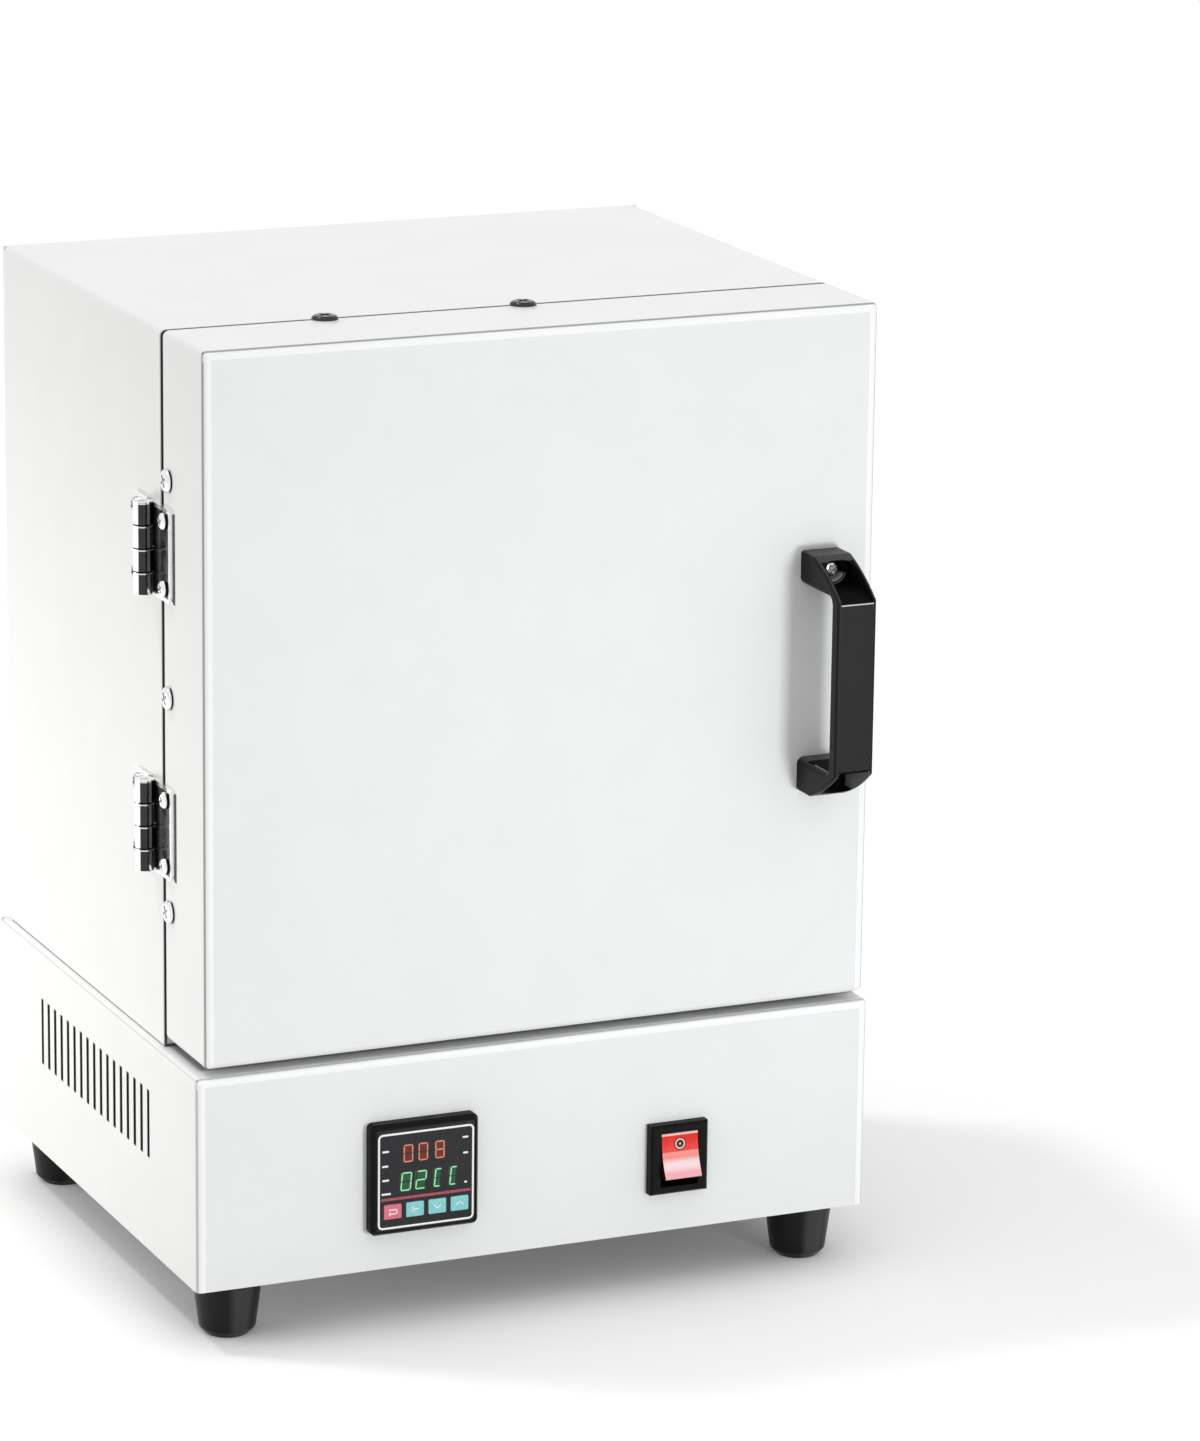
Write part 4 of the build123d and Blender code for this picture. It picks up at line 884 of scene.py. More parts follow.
def add_tube(builder, centres, radius, sides):
    """A closed round tube along a line of points."""
    rings = []
    normal = None
    turns = [2 * math.pi * step / sides for step in range(sides)]
    for index, centre in enumerate(centres):
        ahead = centres[min(index + 1, len(centres) - 1)] - centres[max(index - 1, 0)]
        ahead.normalize()
        if normal is None:
            normal = ahead.orthogonal()
        normal = (normal - ahead * normal.dot(ahead)).normalized()
        side = ahead.cross(normal)
        rings.append([
            builder.verts.new(centre + (normal * math.cos(turn) + side * math.sin(turn)) * radius)
            for turn in turns
        ])
    for first, second in zip(rings, rings[1:]):
        add_sides(builder, first, second)
    builder.faces.new(list(reversed(rings[0])))
    builder.faces.new(rings[-1])


def rounded_outline(middle, half, radius, steps=6):
    """Points of a rectangle with round corners, anticlockwise, from its middle and half sizes."""
    points = []
    for right, up, start in ((1, 1, 0.0), (-1, 1, 90.0), (-1, -1, 180.0), (1, -1, 270.0)):
        u = middle[0] + right * (half[0] - radius)
        v = middle[1] + up * (half[1] - radius)
        for step in range(steps + 1):
            turn = math.radians(start + 90.0 * step / steps)
            points.append((u + radius * math.cos(turn), v + radius * math.sin(turn)))
    return points


def ring_outline(centre, radius, steps=40):
    """Points of a circle, anticlockwise."""
    turns = [2 * math.pi * step / steps for step in range(steps)]
    return [(centre[0] + radius * math.cos(t), centre[1] + radius * math.sin(t)) for t in turns]


def stroke_outline(start, end, width, tip):
    """Points of a bar with pointed ends, along a line."""
    start, end = Vector(start), Vector(end)
    along = (end - start).normalized()
    side = Vector((-along.y, along.x)) * (width / 2)
    near, far = start + along * tip, end - along * tip
    points = [start, near - side, far - side, end, far + side, near + side]
    return [tuple(point) for point in points]


def on_face(front, thickness):
    """Placement in front of a surface that faces -Y: u is X, v is Z."""
    def place(u, v, depth):
        return Vector((u, front - thickness * depth, v))
    return place


# Seven-stroke figures: strokes a to f run clockwise from the top, and g is in the middle

STROKES = {
    "a": ((0, 2), (1, 2)), "b": ((1, 2), (1, 1)), "c": ((1, 1), (1, 0)), "d": ((0, 0), (1, 0)),
    "e": ((0, 1), (0, 0)), "f": ((0, 2), (0, 1)), "g": ((0, 1), (1, 1)),
}
FIGURES = {
    "0": "abcdef", "1": "bc", "2": "abged", "3": "abgcd", "4": "fgbc", "5": "afgcd",
    "6": "afgcde", "7": "abc", "8": "abcdefg", "9": "afbgcd", "C": "afed", " ": "",
}
STROKE_GAP = 0.16
STROKE_TIP = 0.5


def add_reading(builders, reading, places, low, height, settings, slant):
    """Add each figure's strokes to the lit or the unlit builder."""
    stroke = settings.stroke_width
    for figure, (centre, width) in zip(reading, places):
        for name, ends in STROKES.items():
            points = []
            for column, row in ends:
                v = stroke / 2 + row * (height - stroke) / 2
                u = centre - (width - stroke) / 2 + column * (width - stroke) + slant * v
                points.append(Vector((u, low + v)))
            gap = (points[1] - points[0]).normalized() * stroke * STROKE_GAP
            outline = stroke_outline(points[0] + gap, points[1] - gap, stroke, stroke * STROKE_TIP)
            builder = builders["lit" if name in FIGURES[figure] else "unlit"]
            add_plate(builder, outline, on_face(FACE_FRONT, settings.print_depth))


# Properties

def length_setting(name, description, low, high, value):
    """A length in metres."""
    return bpy.props.FloatProperty(
        name=name, description=description, unit="LENGTH", subtype="DISTANCE",
        min=low, max=high, default=value,
    )


def colour_setting(name, description, value):
    """A colour of three numbers."""
    return bpy.props.FloatVectorProperty(
        name=name, description=description, subtype="COLOR", size=3, min=0.0, max=1.0,
        default=value,
    )


def strength_setting(name, description, high, value, unit="NONE"):
    """The strength or power of a light."""
    return bpy.props.FloatProperty(
        name=name, description=description, unit=unit, min=0.0, max=high, default=value,
    )


class KilnPaint(bpy.types.PropertyGroup):
    """Colour and grain of the white sheet metal."""

    colour: colour_setting("Paint colour", "Colour of the powder coat", (0.862, 0.868, 0.864))
    grain: length_setting(
        "Paint grain", "Width of the smallest bumps in the powder coat", 0.0001, 0.005, 0.0006
    )


class KilnFace(bpy.types.PropertyGroup):
    """Readings, print and colours of the temperature controller."""

    upper_reading: bpy.props.StringProperty(
        name="Upper reading", description="Red figures, up to four", default="008 ", maxlen=4,
    )
    lower_reading: bpy.props.StringProperty(
        name="Lower reading", description="Green figures, up to four", default="02CC", maxlen=4,
    )
    stroke_width: length_setting(
        "Stroke width", "Width of one stroke of a figure", 0.0001, 0.002, 0.00055
    )
    print_depth: length_setting(
        "Print depth", "How far print and figures stand off the face", 0.00002, 0.0003, 0.00008
    )
    red: colour_setting("Red figures", "Colour of the upper figures", (0.60, 0.19, 0.10))
    green: colour_setting("Green figures", "Colour of the lower figures", (0.30, 0.72, 0.38))
    line_width: length_setting(
        "Frame line", "Width of the white line round the face", 0.0002, 0.002, 0.00085
    )


class KilnWinding(bpy.types.PropertyGroup):
    """The wound heating wire in the chamber's side walls."""

    wire: length_setting("Wire", "Diameter of the resistance wire", 0.0005, 0.003, 0.0013)
    pitch: length_setting(
        "Pitch", "Distance from one turn of the winding to the next", 0.002, 0.01, 0.0034
    )


class KilnStage(bpy.types.PropertyGroup):
    """Floor, lights and camera."""

    key_strength: strength_setting(
        "Key light", "Strength of the sun above and behind the kiln's left shoulder", 20.0, 0.55
    )
    front_power: strength_setting(
        "Front softbox", "Power of the low softbox in front, to the right", 500.0, 4.9, "POWER"
    )
    side_power: strength_setting(
        "Side softbox", "Power of the low softbox on the left", 500.0, 1.32, "POWER"
    )
    zenith_strength: strength_setting(
        "Ceiling light", "Strength of the room's light from straight above", 5.0, 1.05
    )
    horizon_strength: strength_setting(
        "Wall light", "Strength of the room's light from all round, low down", 5.0, 0.15
    )
    lens: bpy.props.FloatProperty(
        name="Lens", description="Focal length of the camera in millimetres on a 36 mm frame",
        min=10.0, max=400.0, default=155.7,
    )


# Steps that dress the CAD nodes

class KILN_OT_sheet_metal(bpy.types.Operator):
    """Coat the white sheet metal and finish the bare sheet"""

    bl_idname = "kiln.sheet_metal"
    bl_label = "Sheet metal"

    def execute(self, context):
        paint = context.scene.kiln_paint
        coat = (tuple(paint.colour), paint.grain)
        dress_nodes("white_powder_coat", powder_coat("powder_coat", *coat))
        dress_node("door_shell", powder_coat("door_coat", *coat, door_shade_and_highlights))
        dress_node("casing_shell", powder_coat("casing_coat", *coat, casing_painted_shade))
        dress_node("base_shell", powder_coat("base_coat", *coat, base_shade_and_highlights))
        dress_nodes("zinc_sheet", zinc_sheet("zinc_sheet", (0.38, 0.39, 0.40), (0.52, 0.53, 0.54)))
        dress_node("base_floor", zinc_sheet("dull_zinc", grey(0.13), (0.20, 0.20, 0.21)))
        return {"FINISHED"}


class KILN_OT_hardware(bpy.types.Operator):
    """Finish screws, hinges, contacts, heat sink and magnets"""

    bl_idname = "kiln.hardware"
    bl_label = "Hardware"

    def execute(self, context):
        dress_nodes("polished_steel", polished_steel())
        low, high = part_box("door_shell")
        dress_node("door_side_screws", side_screw_steel("door_screw_steel", low.x))
        leaf_screws = side_screw_steel("leaf_screw_steel", low.x - LEAF_THICKNESS)
        dress_node("hinge_door_screws", leaf_screws)
        dress_node("door_top_screws", top_screw_steel("top_screw_steel", high.z))
        door_leaf = dark_steel("door_leaf_steel", hinge_highlights_and_joints)
        casing_leaf = dark_steel("casing_leaf_steel", casing_leaf_plate_and_highlights)
        for hinge in ("upper", "lower"):
            dress_node(f"{hinge}_hinge_door_leaf", door_leaf)
            dress_node(f"{hinge}_hinge_casing_leaf", casing_leaf)
        for slot, low, high, roughness in (
            ("brass", (0.56, 0.40, 0.18), (0.74, 0.57, 0.29), 0.32),
            ("aluminium", (0.68, 0.69, 0.71), (0.80, 0.81, 0.83), 0.38),
            ("ferrite", grey(0.05), grey(0.09), 0.5),
        ):
            dress_nodes(slot, plain_metal(slot, low, high, roughness))
        return {"FINISHED"}


class KILN_OT_mouldings(bpy.types.Operator):
    """Finish the moulded plastic, the rubber and the wires"""

    bl_idname = "kiln.mouldings"
    bl_label = "Mouldings"

    def execute(self, context):
        dress_nodes("black_plastic", moulded_plastic(
            "black_plastic", (0.008, 0.008, 0.0083), roughness=0.38, grain=0.0005,
            relief=0.00002, gloss=0.22,
        ))
        frames = moulded_plastic(
            "frame_plastic", (0.0035, 0.0036, 0.0035), roughness=0.42, grain=0.0006,
            relief=0.00003, gloss=0.10,
        )
        for node in ("controller_bezel", "switch_housing"):
            dress_node(node, frames)
        dress_node("handle", handle_plastic())
        dress_nodes("black_rubber", moulded_rubber())
        dress_nodes("relay_plastic", moulded_plastic(
            "relay_plastic", (0.70, 0.70, 0.67), roughness=0.42, grain=0.0006, relief=0.00002
        ))
        dress_nodes("silicone_lead", moulded_plastic(
            "silicone_lead", (0.50, 0.06, 0.045), roughness=0.5, grain=0.0009, relief=0.00003
        ))
        return {"FINISHED"}


class KILN_OT_chamber(bpy.types.Operator):
    """Finish the fibre lining, the shelf and the probe"""

    bl_idname = "kiln.chamber"
    bl_label = "Chamber"

    def execute(self, context):
        dress_nodes("ceramic_fibre", fibre_board())
        dress_nodes("hearth_ceramic", fired_ceramic(
            "hearth_ceramic", (0.72, 0.61, 0.47), (0.30, 0.20, 0.12), speck=0.0008, roughness=0.82
        ))
        dress_nodes("probe_ceramic", fired_ceramic(
            "probe_ceramic", (0.84, 0.81, 0.75), (0.62, 0.56, 0.48), speck=0.0005, roughness=0.45
        ))
        return {"FINISHED"}


# Heating windings

WINDING_RUNS = 6
WINDING_STRAIGHT = 88.0 * MM
WINDING_OUTER_RADIUS = 4.0 * MM
WINDING_SLACK = 0.05 * MM
BEND_STEPS = 12
TURN_STEPS = 10
WIRE_SIDES = 7


class KILN_OT_windings(bpy.types.Operator):
    """Wind the heating wire along the grooves of both side walls"""

    bl_idname = "kiln.windings"
    bl_label = "Heating windings"

    def execute(self, context):
        finish = resistance_wire()
        for side in ("left", "right"):
            wind_element(side, context.scene.kiln_winding, finish)
        return {"FINISHED"}


def serpentine(node, runs, outer_radius):
    """Points along a winding's route: up the wall in runs joined by half turns."""
    low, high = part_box(node)
    x = (low.x + high.x) / 2
    pitch = (high.z - low.z - 2 * outer_radius) / (runs - 1)
    bend = pitch / 2
    front = low.y + outer_radius + bend
    back = front + WINDING_STRAIGHT
    lowest = low.z + outer_radius
    points = [Vector((x, high.y, lowest))]
    for run in range(runs):
        z = lowest + run * pitch
        goes_forward = run % 2 == 0
        near, far = (back, front) if goes_forward else (front, back)
        points += [Vector((x, near, z)), Vector((x, far, z))]
        if run < runs - 1:
            outward = -1.0 if goes_forward else 1.0
            for step in range(1, BEND_STEPS):
                turn = math.pi * step / BEND_STEPS
                points.append(Vector((
                    x, far + outward * bend * math.sin(turn), z + bend * (1 - math.cos(turn))
                )))
    points.append(Vector((x, high.y, lowest + (runs - 1) * pitch)))
    return points


def even_points(points, spacing):
    """The route again, with points at an even spacing along it."""
    lengths = [(b - a).length for a, b in zip(points, points[1:])]
    total = sum(lengths)
    count = int(total / spacing)
    placed, index, walked = [], 0, 0.0
    for step in range(count + 1):
        target = total * step / count
        while index < len(lengths) - 1 and walked + lengths[index] < target:
            walked += lengths[index]
            index += 1
        share = (target - walked) / lengths[index]
        placed.append(points[index].lerp(points[index + 1], min(share, 1.0)))
    return placed


def wind_element(side, settings, finish):
    """One winding as a real helix of wire, standing for the CAD bar of the same size."""
    node = f"heating_coil_{side}"
    wire_radius = settings.wire / 2
    wound_radius = WINDING_OUTER_RADIUS - wire_radius - WINDING_SLACK
    route = even_points(
        serpentine(node, WINDING_RUNS, WINDING_OUTER_RADIUS), settings.pitch / TURN_STEPS
    )
    across = Vector((1.0, 0.0, 0.0))
    centres = []
    for index, point in enumerate(route):
        ahead = route[min(index + 1, len(route) - 1)] - route[max(index - 1, 0)]
        other = across.cross(ahead.normalized())
        turn = 2 * math.pi * index / TURN_STEPS
        centres.append(point + (across * math.cos(turn) + other * math.sin(turn)) * wound_radius)
    builder = bmesh.new()
    add_tube(builder, centres, wire_radius, WIRE_SIDES)
    piece = new_piece(
        f"heating_winding_{side}", builder, finish, smooth=True
    )
    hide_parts(node)


# Controller face

UPPER_PLACES = [
    (FACE_MIDDLE.x + x * MM, 4.3 * MM) for x in (-8.0, -1.3, 6.2, 12.6)
]
UPPER_FIGURE_LOW = 7.2 * MM
UPPER_FIGURE_HEIGHT = 7.7 * MM
UPPER_GLOW = (0.115, 0.009, 0.004)
LOWER_PLACES = [
    (FACE_MIDDLE.x + x * MM, width * MM)
    for x, width in ((-9.3, 4.7), (-2.6, 4.7), (5.0, 3.2), (12.0, 3.2))
]
LOWER_FIGURE_LOW = -5.3 * MM
LOWER_FIGURE_HEIGHT = 8.1 * MM
LOWER_FIGURE_SLANT = 0.10
LOWER_GLOW = (0.002, 0.080, 0.018)
GLOW_INSET = 0.8 * MM
FIGURE_LIGHT = 0.30
LINE_HALF_WIDTH = 21.2 * MM
LINE_HALF_HEIGHT = 20.5 * MM
LINE_RISE = -0.4 * MM
LINE_CORNER = 1.8 * MM
BAND_HALF_WIDTH = 20.2 * MM
BAND_Z = -8.3 * MM
BAND_HEIGHT = 1.1 * MM
MARK_HEIGHT = 0.85 * MM
MARKS = [
    (-18.2, 12.8, 3.0), (-18.4, 6.4, 2.8), (-18.2, 0.2, 3.1), (-17.9, -5.8, 4.2),
    (17.7, 15.1, 2.6), (17.8, 8.2, 2.3), (17.9, -4.7, 1.3),
]
ICON_STROKE = 0.5 * MM
ICON_TIP = 0.3
KEY_ICONS = {
    "key_set": [((-2.0, 0.9), (1.8, 0.9)), ((1.8, 0.9), (1.8, -0.9)), ((1.8, -0.9), (-2.0, -0.9)),
                ((-2.0, -0.9), (-1.0, -0.1)), ((-2.0, -0.9), (-1.0, -1.7))],
    "key_left": [((1.8, 0.0), (-1.8, 0.0)), ((-1.8, 0.0), (-0.4, 1.3)),
                 ((-1.8, 0.0), (-0.4, -1.3))],
    "key_down": [((-1.7, 0.8), (0.0, -0.9)), ((0.0, -0.9), (1.7, 0.8))],
    "key_up": [((-1.7, -0.8), (0.0, 0.9)), ((0.0, 0.9), (1.7, -0.8))],
}


class KILN_OT_controller_face(bpy.types.Operator):
    """Print the controller's face and light its figures"""

    bl_idname = "kiln.controller_face"
    bl_label = "Controller face"

    def execute(self, context):
        settings = context.scene.kiln_face
        dress_node("controller_faceplate", smoked_window(
            glow_boxes(UPPER_PLACES[:3], UPPER_FIGURE_LOW, UPPER_FIGURE_HEIGHT, UPPER_GLOW)
            + glow_boxes(LOWER_PLACES, LOWER_FIGURE_LOW, LOWER_FIGURE_HEIGHT, LOWER_GLOW)
        ))
        light_figures(settings)
        print_frame_line(settings)
        print_marks(settings)
        finish_keys(settings)
        return {"FINISHED"}


def glow_boxes(places, low, height, light):
    """The glow behind each figure of a row: its middle, width, height and light."""
    return [
        (x, FACE_MIDDLE.z + low + height / 2, width - GLOW_INSET, height - GLOW_INSET, light)
        for x, width in places
    ]


def light_figures(settings):
    """Both rows of figures: lit strokes in two colours, and the unlit strokes."""
    unlit = bmesh.new()
    rows = (
        ("upper", settings.upper_reading, UPPER_PLACES, UPPER_FIGURE_LOW, UPPER_FIGURE_HEIGHT,
         0.0, settings.red),
        ("lower", settings.lower_reading, LOWER_PLACES, LOWER_FIGURE_LOW, LOWER_FIGURE_HEIGHT,
         LOWER_FIGURE_SLANT, settings.green),
    )
    for name, reading, places, low, height, slant, colour in rows:
        lit = bmesh.new()
        add_reading(
            {"lit": lit, "unlit": unlit}, reading.ljust(4), places, FACE_MIDDLE.z + low,
            height, settings, slant,
        )
        finish = lit_figures(f"{name}_figures_lit", tuple(colour), FIGURE_LIGHT)
        new_piece(f"{name}_figures", lit, finish)
    new_piece("unlit_figures", unlit, unlit_figures())


def print_frame_line(settings):
    """The white line with round corners near the face's edge."""
    centre = (FACE_MIDDLE.x, FACE_MIDDLE.z + LINE_RISE)
    half = settings.line_width / 2
    inner, outer = [
        rounded_outline(
            centre, (LINE_HALF_WIDTH + offset, LINE_HALF_HEIGHT + offset), LINE_CORNER + offset
        )
        for offset in (-half, half)
    ]
    builder = bmesh.new()
    add_band(builder, inner, outer, on_face(FACE_FRONT, settings.print_depth))
    new_piece("face_frame_line", builder, printed_ink("white_ink", grey(0.94)))


def print_marks(settings):
    """Small lamp marks beside the figures and the red band over the keys."""
    place = on_face(FACE_FRONT, settings.print_depth)
    builder = bmesh.new()
    for x, z, width in MARKS:
        middle = (FACE_MIDDLE.x + x * MM, FACE_MIDDLE.z + z * MM)
        half = (width * MM / 2, MARK_HEIGHT / 2)
        add_plate(builder, rounded_outline(middle, half, half[1] * 0.9, 4), place)
    new_piece("face_marks", builder, printed_ink("mark_ink", grey(0.90)))
    band = bmesh.new()
    middle = (FACE_MIDDLE.x, FACE_MIDDLE.z + BAND_Z)
    half = (BAND_HALF_WIDTH, BAND_HEIGHT / 2)
    add_plate(band, rounded_outline(middle, half, BAND_HEIGHT * 0.2, 3), place)
    new_piece("face_band", band, printed_ink("band_ink", (0.42, 0.05, 0.085), 0.3))


def finish_keys(settings):
    """Colour the four keys and print an icon on each."""
    dress_nodes("key_pink", key_film("pink_key", (0.66, 0.13, 0.20)))
    dress_nodes("key_cyan", key_film("cyan_key", (0.22, 0.60, 0.62)))
    ink = printed_ink("icon_ink", (0.85, 0.87, 0.87))
    for node, strokes in KEY_ICONS.items():
        low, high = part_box(node)
        centre = ((low.x + high.x) / 2, (low.z + high.z) / 2)
        builder = bmesh.new()
        for ends in strokes:
            points = [(centre[0] + u * MM, centre[1] + v * MM) for u, v in ends]
            outline = stroke_outline(*points, ICON_STROKE, ICON_STROKE * ICON_TIP)
            add_plate(builder, outline, on_face(low.y, settings.print_depth))
        new_piece(f"{node}_icon", builder, ink, node.removeprefix("key_") + "_key")


# Power switch

ROCKER_TILT = math.radians(15.0)
ROCKER_FACE_SLOPE = math.atan2(1.6, 10.1)
ROCKER_VALLEY = 6.7 * MM
RING_DISTANCE = 5.0 * MM
RING_WIDTH = 0.52 * MM
RING_DEPTH = 0.35 * MM
RING_HEIGHT = 0.12 * MM


class KILN_OT_power_switch(bpy.types.Operator):
    """Finish the red rocker and print its ring mark"""

    bl_idname = "kiln.power_switch"
    bl_label = "Power switch"

    def execute(self, context):
        dress_nodes("rocker_red", rocker_plastic((0.80, 0.028, 0.020)))
        print_ring_mark()
        return {"FINISHED"}


def print_ring_mark():
    """The pale ring on the rocker's upper face."""
    pivot = joint_place("power_rocker_tilt")
    turned = Matrix.Rotation(-ROCKER_TILT, 3, "X")
    sloped = Matrix.Rotation(ROCKER_FACE_SLOPE, 3, "X")

    def place(u, v, depth):
        surface = Vector((u, -ROCKER_VALLEY, 0.0)) + sloped @ Vector((0.0, RING_DEPTH, v))
        surface += sloped @ Vector((0.0, -RING_HEIGHT * depth, 0.0))
        return pivot + turned @ surface

    centre = (0.0, RING_DISTANCE)
    inner = ring_outline(centre, RING_RADIUS - RING_WIDTH)
    outer = ring_outline(centre, RING_RADIUS)
    builder = bmesh.new()
    add_band(builder, inner, outer, place)
    ink = printed_ink("ring_ink", (0.93, 0.66, 0.60), 0.35)
    new_piece("rocker_ring_mark", builder, ink, "power_rocker")


# Stage

FLOOR_HALF = 6.0
FLOOR_PAINT = 0.56
FLOOR_SHOWN_PAINT = 0.93
FLOOR_SHOWN_LIGHT = 0.08
KILN_MIDDLE = (0.0, 0.0, 0.22)
SUN_PLACE = (-1.17, 0.90, 3.22)
SUN_ANGLE = math.radians(6.0)
FRONT_PLACE = (0.31, -1.20, 0.12)
FRONT_TINT = (0.965, 1.0, 0.99)
FRONT_SIZE = (0.18, 0.20)
SIDE_PLACE = (-0.62, 0.26, 0.10)
SIDE_TARGET = (-0.15, 0.10, 0.14)
SIDE_TINT = (1.0, 1.0, 0.95)
SIDE_SIZE = (0.5, 0.14)
CEILING_FROM = 0.8
CAMERA_PLACE = (-0.98944, -2.39908, 0.91522)
CAMERA_TURN = (75.231, -0.701, -23.787)
CAMERA_FRAME = 36.0
CAMERA_CLIP = (0.05, 50.0)


class KILN_OT_stage(bpy.types.Operator):
    """Set the floor, the lights and the camera"""

    bl_idname = "kiln.stage"
    bl_label = "Stage"

    def execute(self, context):
        settings = context.scene.kiln_stage
        context.scene.view_settings.view_transform = "Standard"
        lay_floor()
        light_room(context.scene, settings)
        place_camera(context.scene, settings)
        return {"FINISHED"}


def cleared_tree(holder):
    """The empty node tree of a material or world."""
    holder.use_nodes = True
    holder.node_tree.nodes.clear()
    return holder.node_tree


def node_with(tree, kind, **constants):
    """A new node with constants on its inputs, a colour being given as one grey level."""
    made = tree.nodes.new(kind)
    for name, value in constants.items():
        socket = made.inputs[name.replace("_", " ")]
        socket.default_value = (*grey(value), 1.0) if socket.type == "RGBA" else value
    return made


def shown_rays(tree):
    """A value that is 1 for camera, glossy and transmission rays, and 0 for the rest."""
    path = tree.nodes.new("ShaderNodeLightPath")
    value = path.outputs["Is Camera Ray"]
    for name in ("Is Glossy Ray", "Is Transmission Ray"):
        larger = tree.nodes.new("ShaderNodeMath")
        larger.operation = "MAXIMUM"
        tree.links.new(value, larger.inputs[0])
        tree.links.new(path.outputs[name], larger.inputs[1])
        value = larger.outputs["Value"]
    return value


def split_rays(tree, output_kind, hidden, shown):
    """Use one shader for the rays that only carry light and another for those that are seen."""
    mix = tree.nodes.new("ShaderNodeMixShader")
    tree.links.new(shown_rays(tree), mix.inputs["Fac"])
    tree.links.new(hidden, mix.inputs[1])
    tree.links.new(shown, mix.inputs[2])
    output = tree.nodes.new(output_kind)
    tree.links.new(mix.outputs["Shader"], output.inputs["Surface"])


def lay_floor():
    """A pale floor that shows white where the light reaches it and keeps the kiln's shadow."""
    builder = bmesh.new()
    bmesh.ops.create_grid(builder, x_segments=8, y_segments=8, size=FLOOR_HALF)
    floor = bpy.data.objects.new("floor", mesh_from("floor", builder))
    bpy.context.scene.collection.objects.link(floor)
    material = bpy.data.materials.new("floor_white")
    tree = cleared_tree(material)
    hidden = node_with(tree, "ShaderNodeBsdfDiffuse", Color=FLOOR_PAINT)
    shown = node_with(tree, "ShaderNodeBsdfDiffuse", Color=FLOOR_SHOWN_PAINT)
    light = node_with(tree, "ShaderNodeEmission", Strength=FLOOR_SHOWN_LIGHT)
    both = tree.nodes.new("ShaderNodeAddShader")
    tree.links.new(shown.outputs["BSDF"], both.inputs[0])
    tree.links.new(light.outputs["Emission"], both.inputs[1])
    split_rays(tree, "ShaderNodeOutputMaterial", hidden.outputs["BSDF"], both.outputs["Shader"])
    floor.data.materials.append(material)


def light_room(scene, settings):
    """Room light, a soft sun from behind the left shoulder and softboxes in front and at the left."""
    scene.world = bpy.data.worlds.new("studio")
    tree = cleared_tree(scene.world)
    direction = tree.nodes.new("ShaderNodeTexCoord")
    split = tree.nodes.new("ShaderNodeSeparateXYZ")
    tree.links.new(direction.outputs["Generated"], split.inputs["Vector"])
    height = node_with(
        tree, "ShaderNodeMapRange", From_Min=0.0, From_Max=CEILING_FROM,
        To_Min=settings.horizon_strength, To_Max=settings.zenith_strength,
    )
    tree.links.new(split.outputs["Z"], height.inputs["Value"])
    room = node_with(tree, "ShaderNodeBackground", Color=1.0)
    tree.links.new(height.outputs["Result"], room.inputs["Strength"])
    white = node_with(tree, "ShaderNodeBackground", Color=1.0, Strength=1.0)
    split_rays(
        tree, "ShaderNodeOutputWorld", room.outputs["Background"], white.outputs["Background"]
    )
    add_light(
        "key_sun", "SUN", SUN_PLACE, KILN_MIDDLE, energy=settings.key_strength, angle=SUN_ANGLE
    )
    for name, place, target, tint, power, (width, height) in (
        ("front_softbox", FRONT_PLACE, KILN_MIDDLE, FRONT_TINT, settings.front_power, FRONT_SIZE),
        ("side_softbox", SIDE_PLACE, SIDE_TARGET, SIDE_TINT, settings.side_power, SIDE_SIZE),
    ):
        add_light(
            name, "AREA", place, target, color=tint, energy=power, shape="RECTANGLE",
            size=width, size_y=height,
        )


def add_light(name, kind, place, target, **settings):
    """A lamp that points at a target."""
    lamp = bpy.data.lights.new(name, kind)
    for setting, value in settings.items():
        setattr(lamp, setting, value)
    holder = bpy.data.objects.new(name, lamp)
    bpy.context.scene.collection.objects.link(holder)
    holder.location = place
    aim = Vector(target) - Vector(place)
    holder.rotation_euler = aim.to_track_quat("-Z", "Y").to_euler()
    holder.visible_camera = False


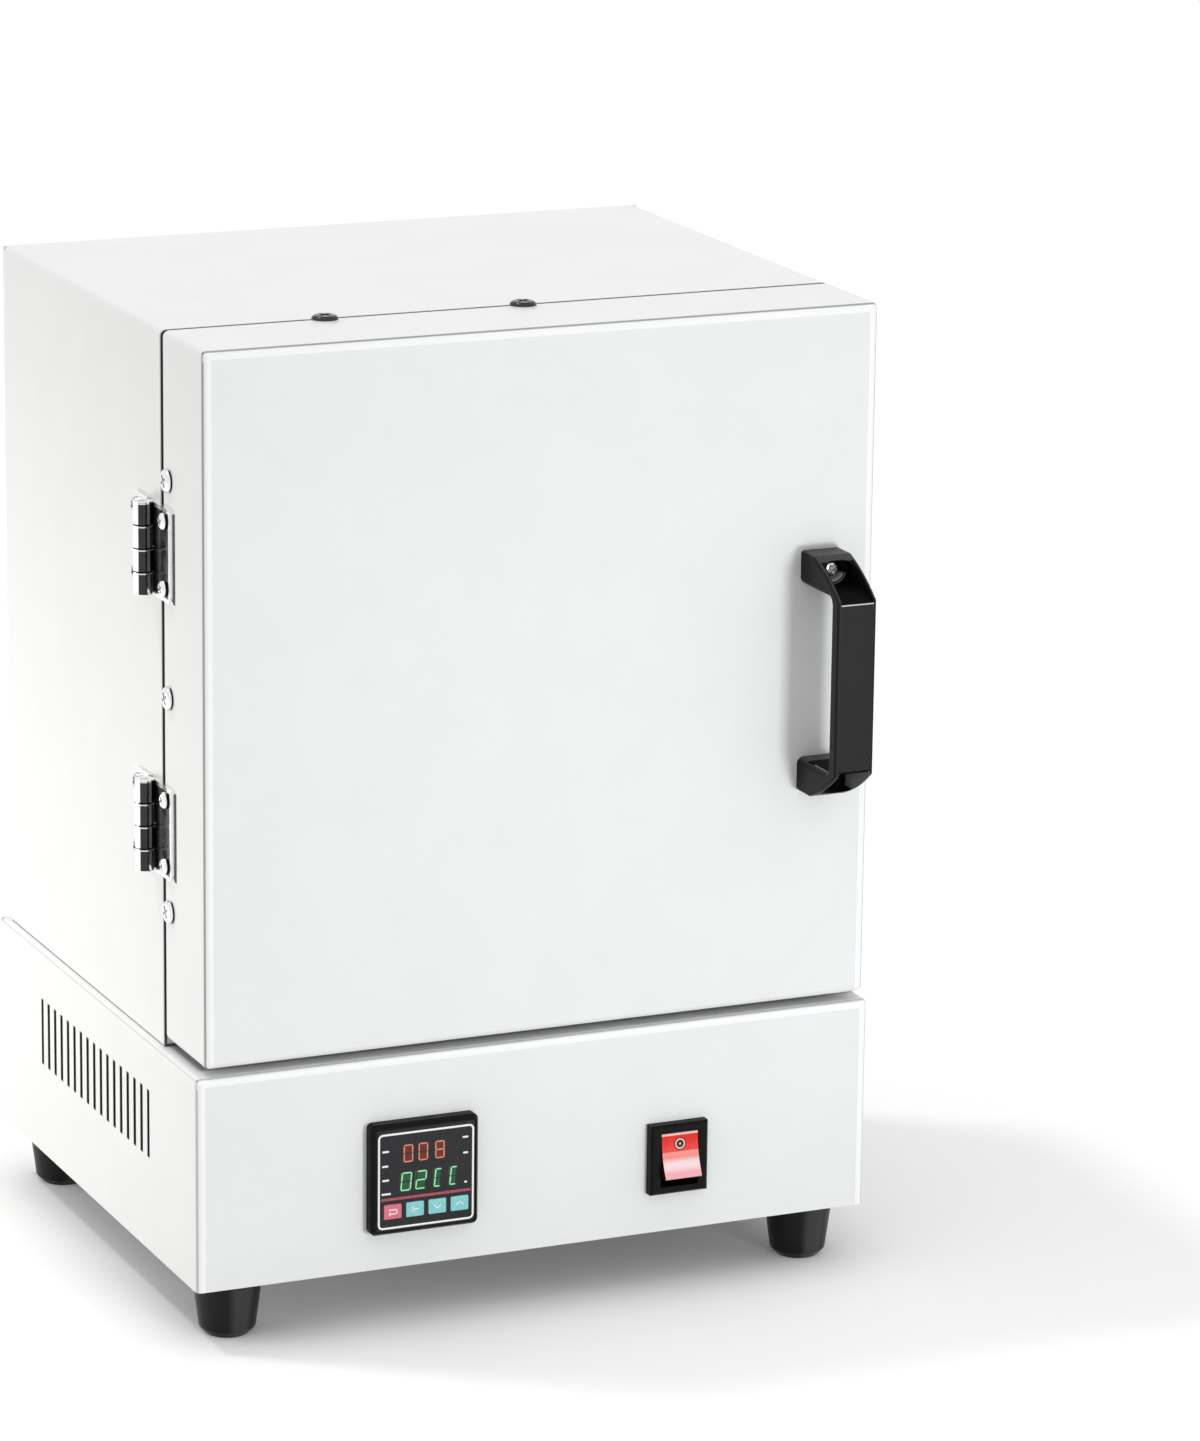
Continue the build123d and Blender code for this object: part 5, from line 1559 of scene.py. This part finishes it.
def place_camera(scene, settings):
    """The camera at the height, distance and turn from which the kiln is shown."""
    lens = bpy.data.cameras.new("camera")
    lens.lens = settings.lens
    lens.sensor_width = CAMERA_FRAME
    lens.clip_start, lens.clip_end = CAMERA_CLIP
    camera = bpy.data.objects.new("camera", lens)
    scene.collection.objects.link(camera)
    camera.location = CAMERA_PLACE
    camera.rotation_euler = [math.radians(angle) for angle in CAMERA_TURN]
    scene.camera = camera


# Panel and registration

OPERATORS = (
    KILN_OT_stage, KILN_OT_sheet_metal, KILN_OT_hardware, KILN_OT_mouldings, KILN_OT_chamber,
    KILN_OT_windings, KILN_OT_controller_face, KILN_OT_power_switch,
)
SETTINGS = {
    "kiln_paint": KilnPaint, "kiln_face": KilnFace, "kiln_winding": KilnWinding,
    "kiln_stage": KilnStage,
}


class KILN_PT_looks(bpy.types.Panel):
    """Lists the kiln's settings and the steps that dress it"""

    bl_idname = "KILN_PT_looks"
    bl_label = "Kiln"
    bl_space_type = "VIEW_3D"
    bl_region_type = "UI"
    bl_category = "Kiln"

    def draw(self, context):
        for name in SETTINGS:
            box = self.layout.box()
            group = getattr(context.scene, name)
            for setting in group.__annotations__:
                box.prop(group, setting)
        for operator in OPERATORS:
            self.layout.operator(operator.bl_idname)


def register():
    """Register the classes and hang the settings on the scene."""
    for name, group in SETTINGS.items():
        bpy.utils.register_class(group)
        setattr(bpy.types.Scene, name, bpy.props.PointerProperty(type=group))
    for operator in OPERATORS:
        bpy.utils.register_class(operator)
    bpy.utils.register_class(KILN_PT_looks)


def unregister():
    """Take the classes and settings away again."""
    bpy.utils.unregister_class(KILN_PT_looks)
    for operator in reversed(OPERATORS):
        bpy.utils.unregister_class(operator)
    for name, group in SETTINGS.items():
        delattr(bpy.types.Scene, name)
        bpy.utils.unregister_class(group)


def main():
    """Dress the kiln and set the stage."""
    register()
    bpy.ops.kiln.stage()
    bpy.ops.kiln.sheet_metal()
    bpy.ops.kiln.hardware()
    bpy.ops.kiln.mouldings()
    bpy.ops.kiln.chamber()
    bpy.ops.kiln.windings()
    bpy.ops.kiln.controller_face()
    bpy.ops.kiln.power_switch()


if __name__ == "__main__":
    main()
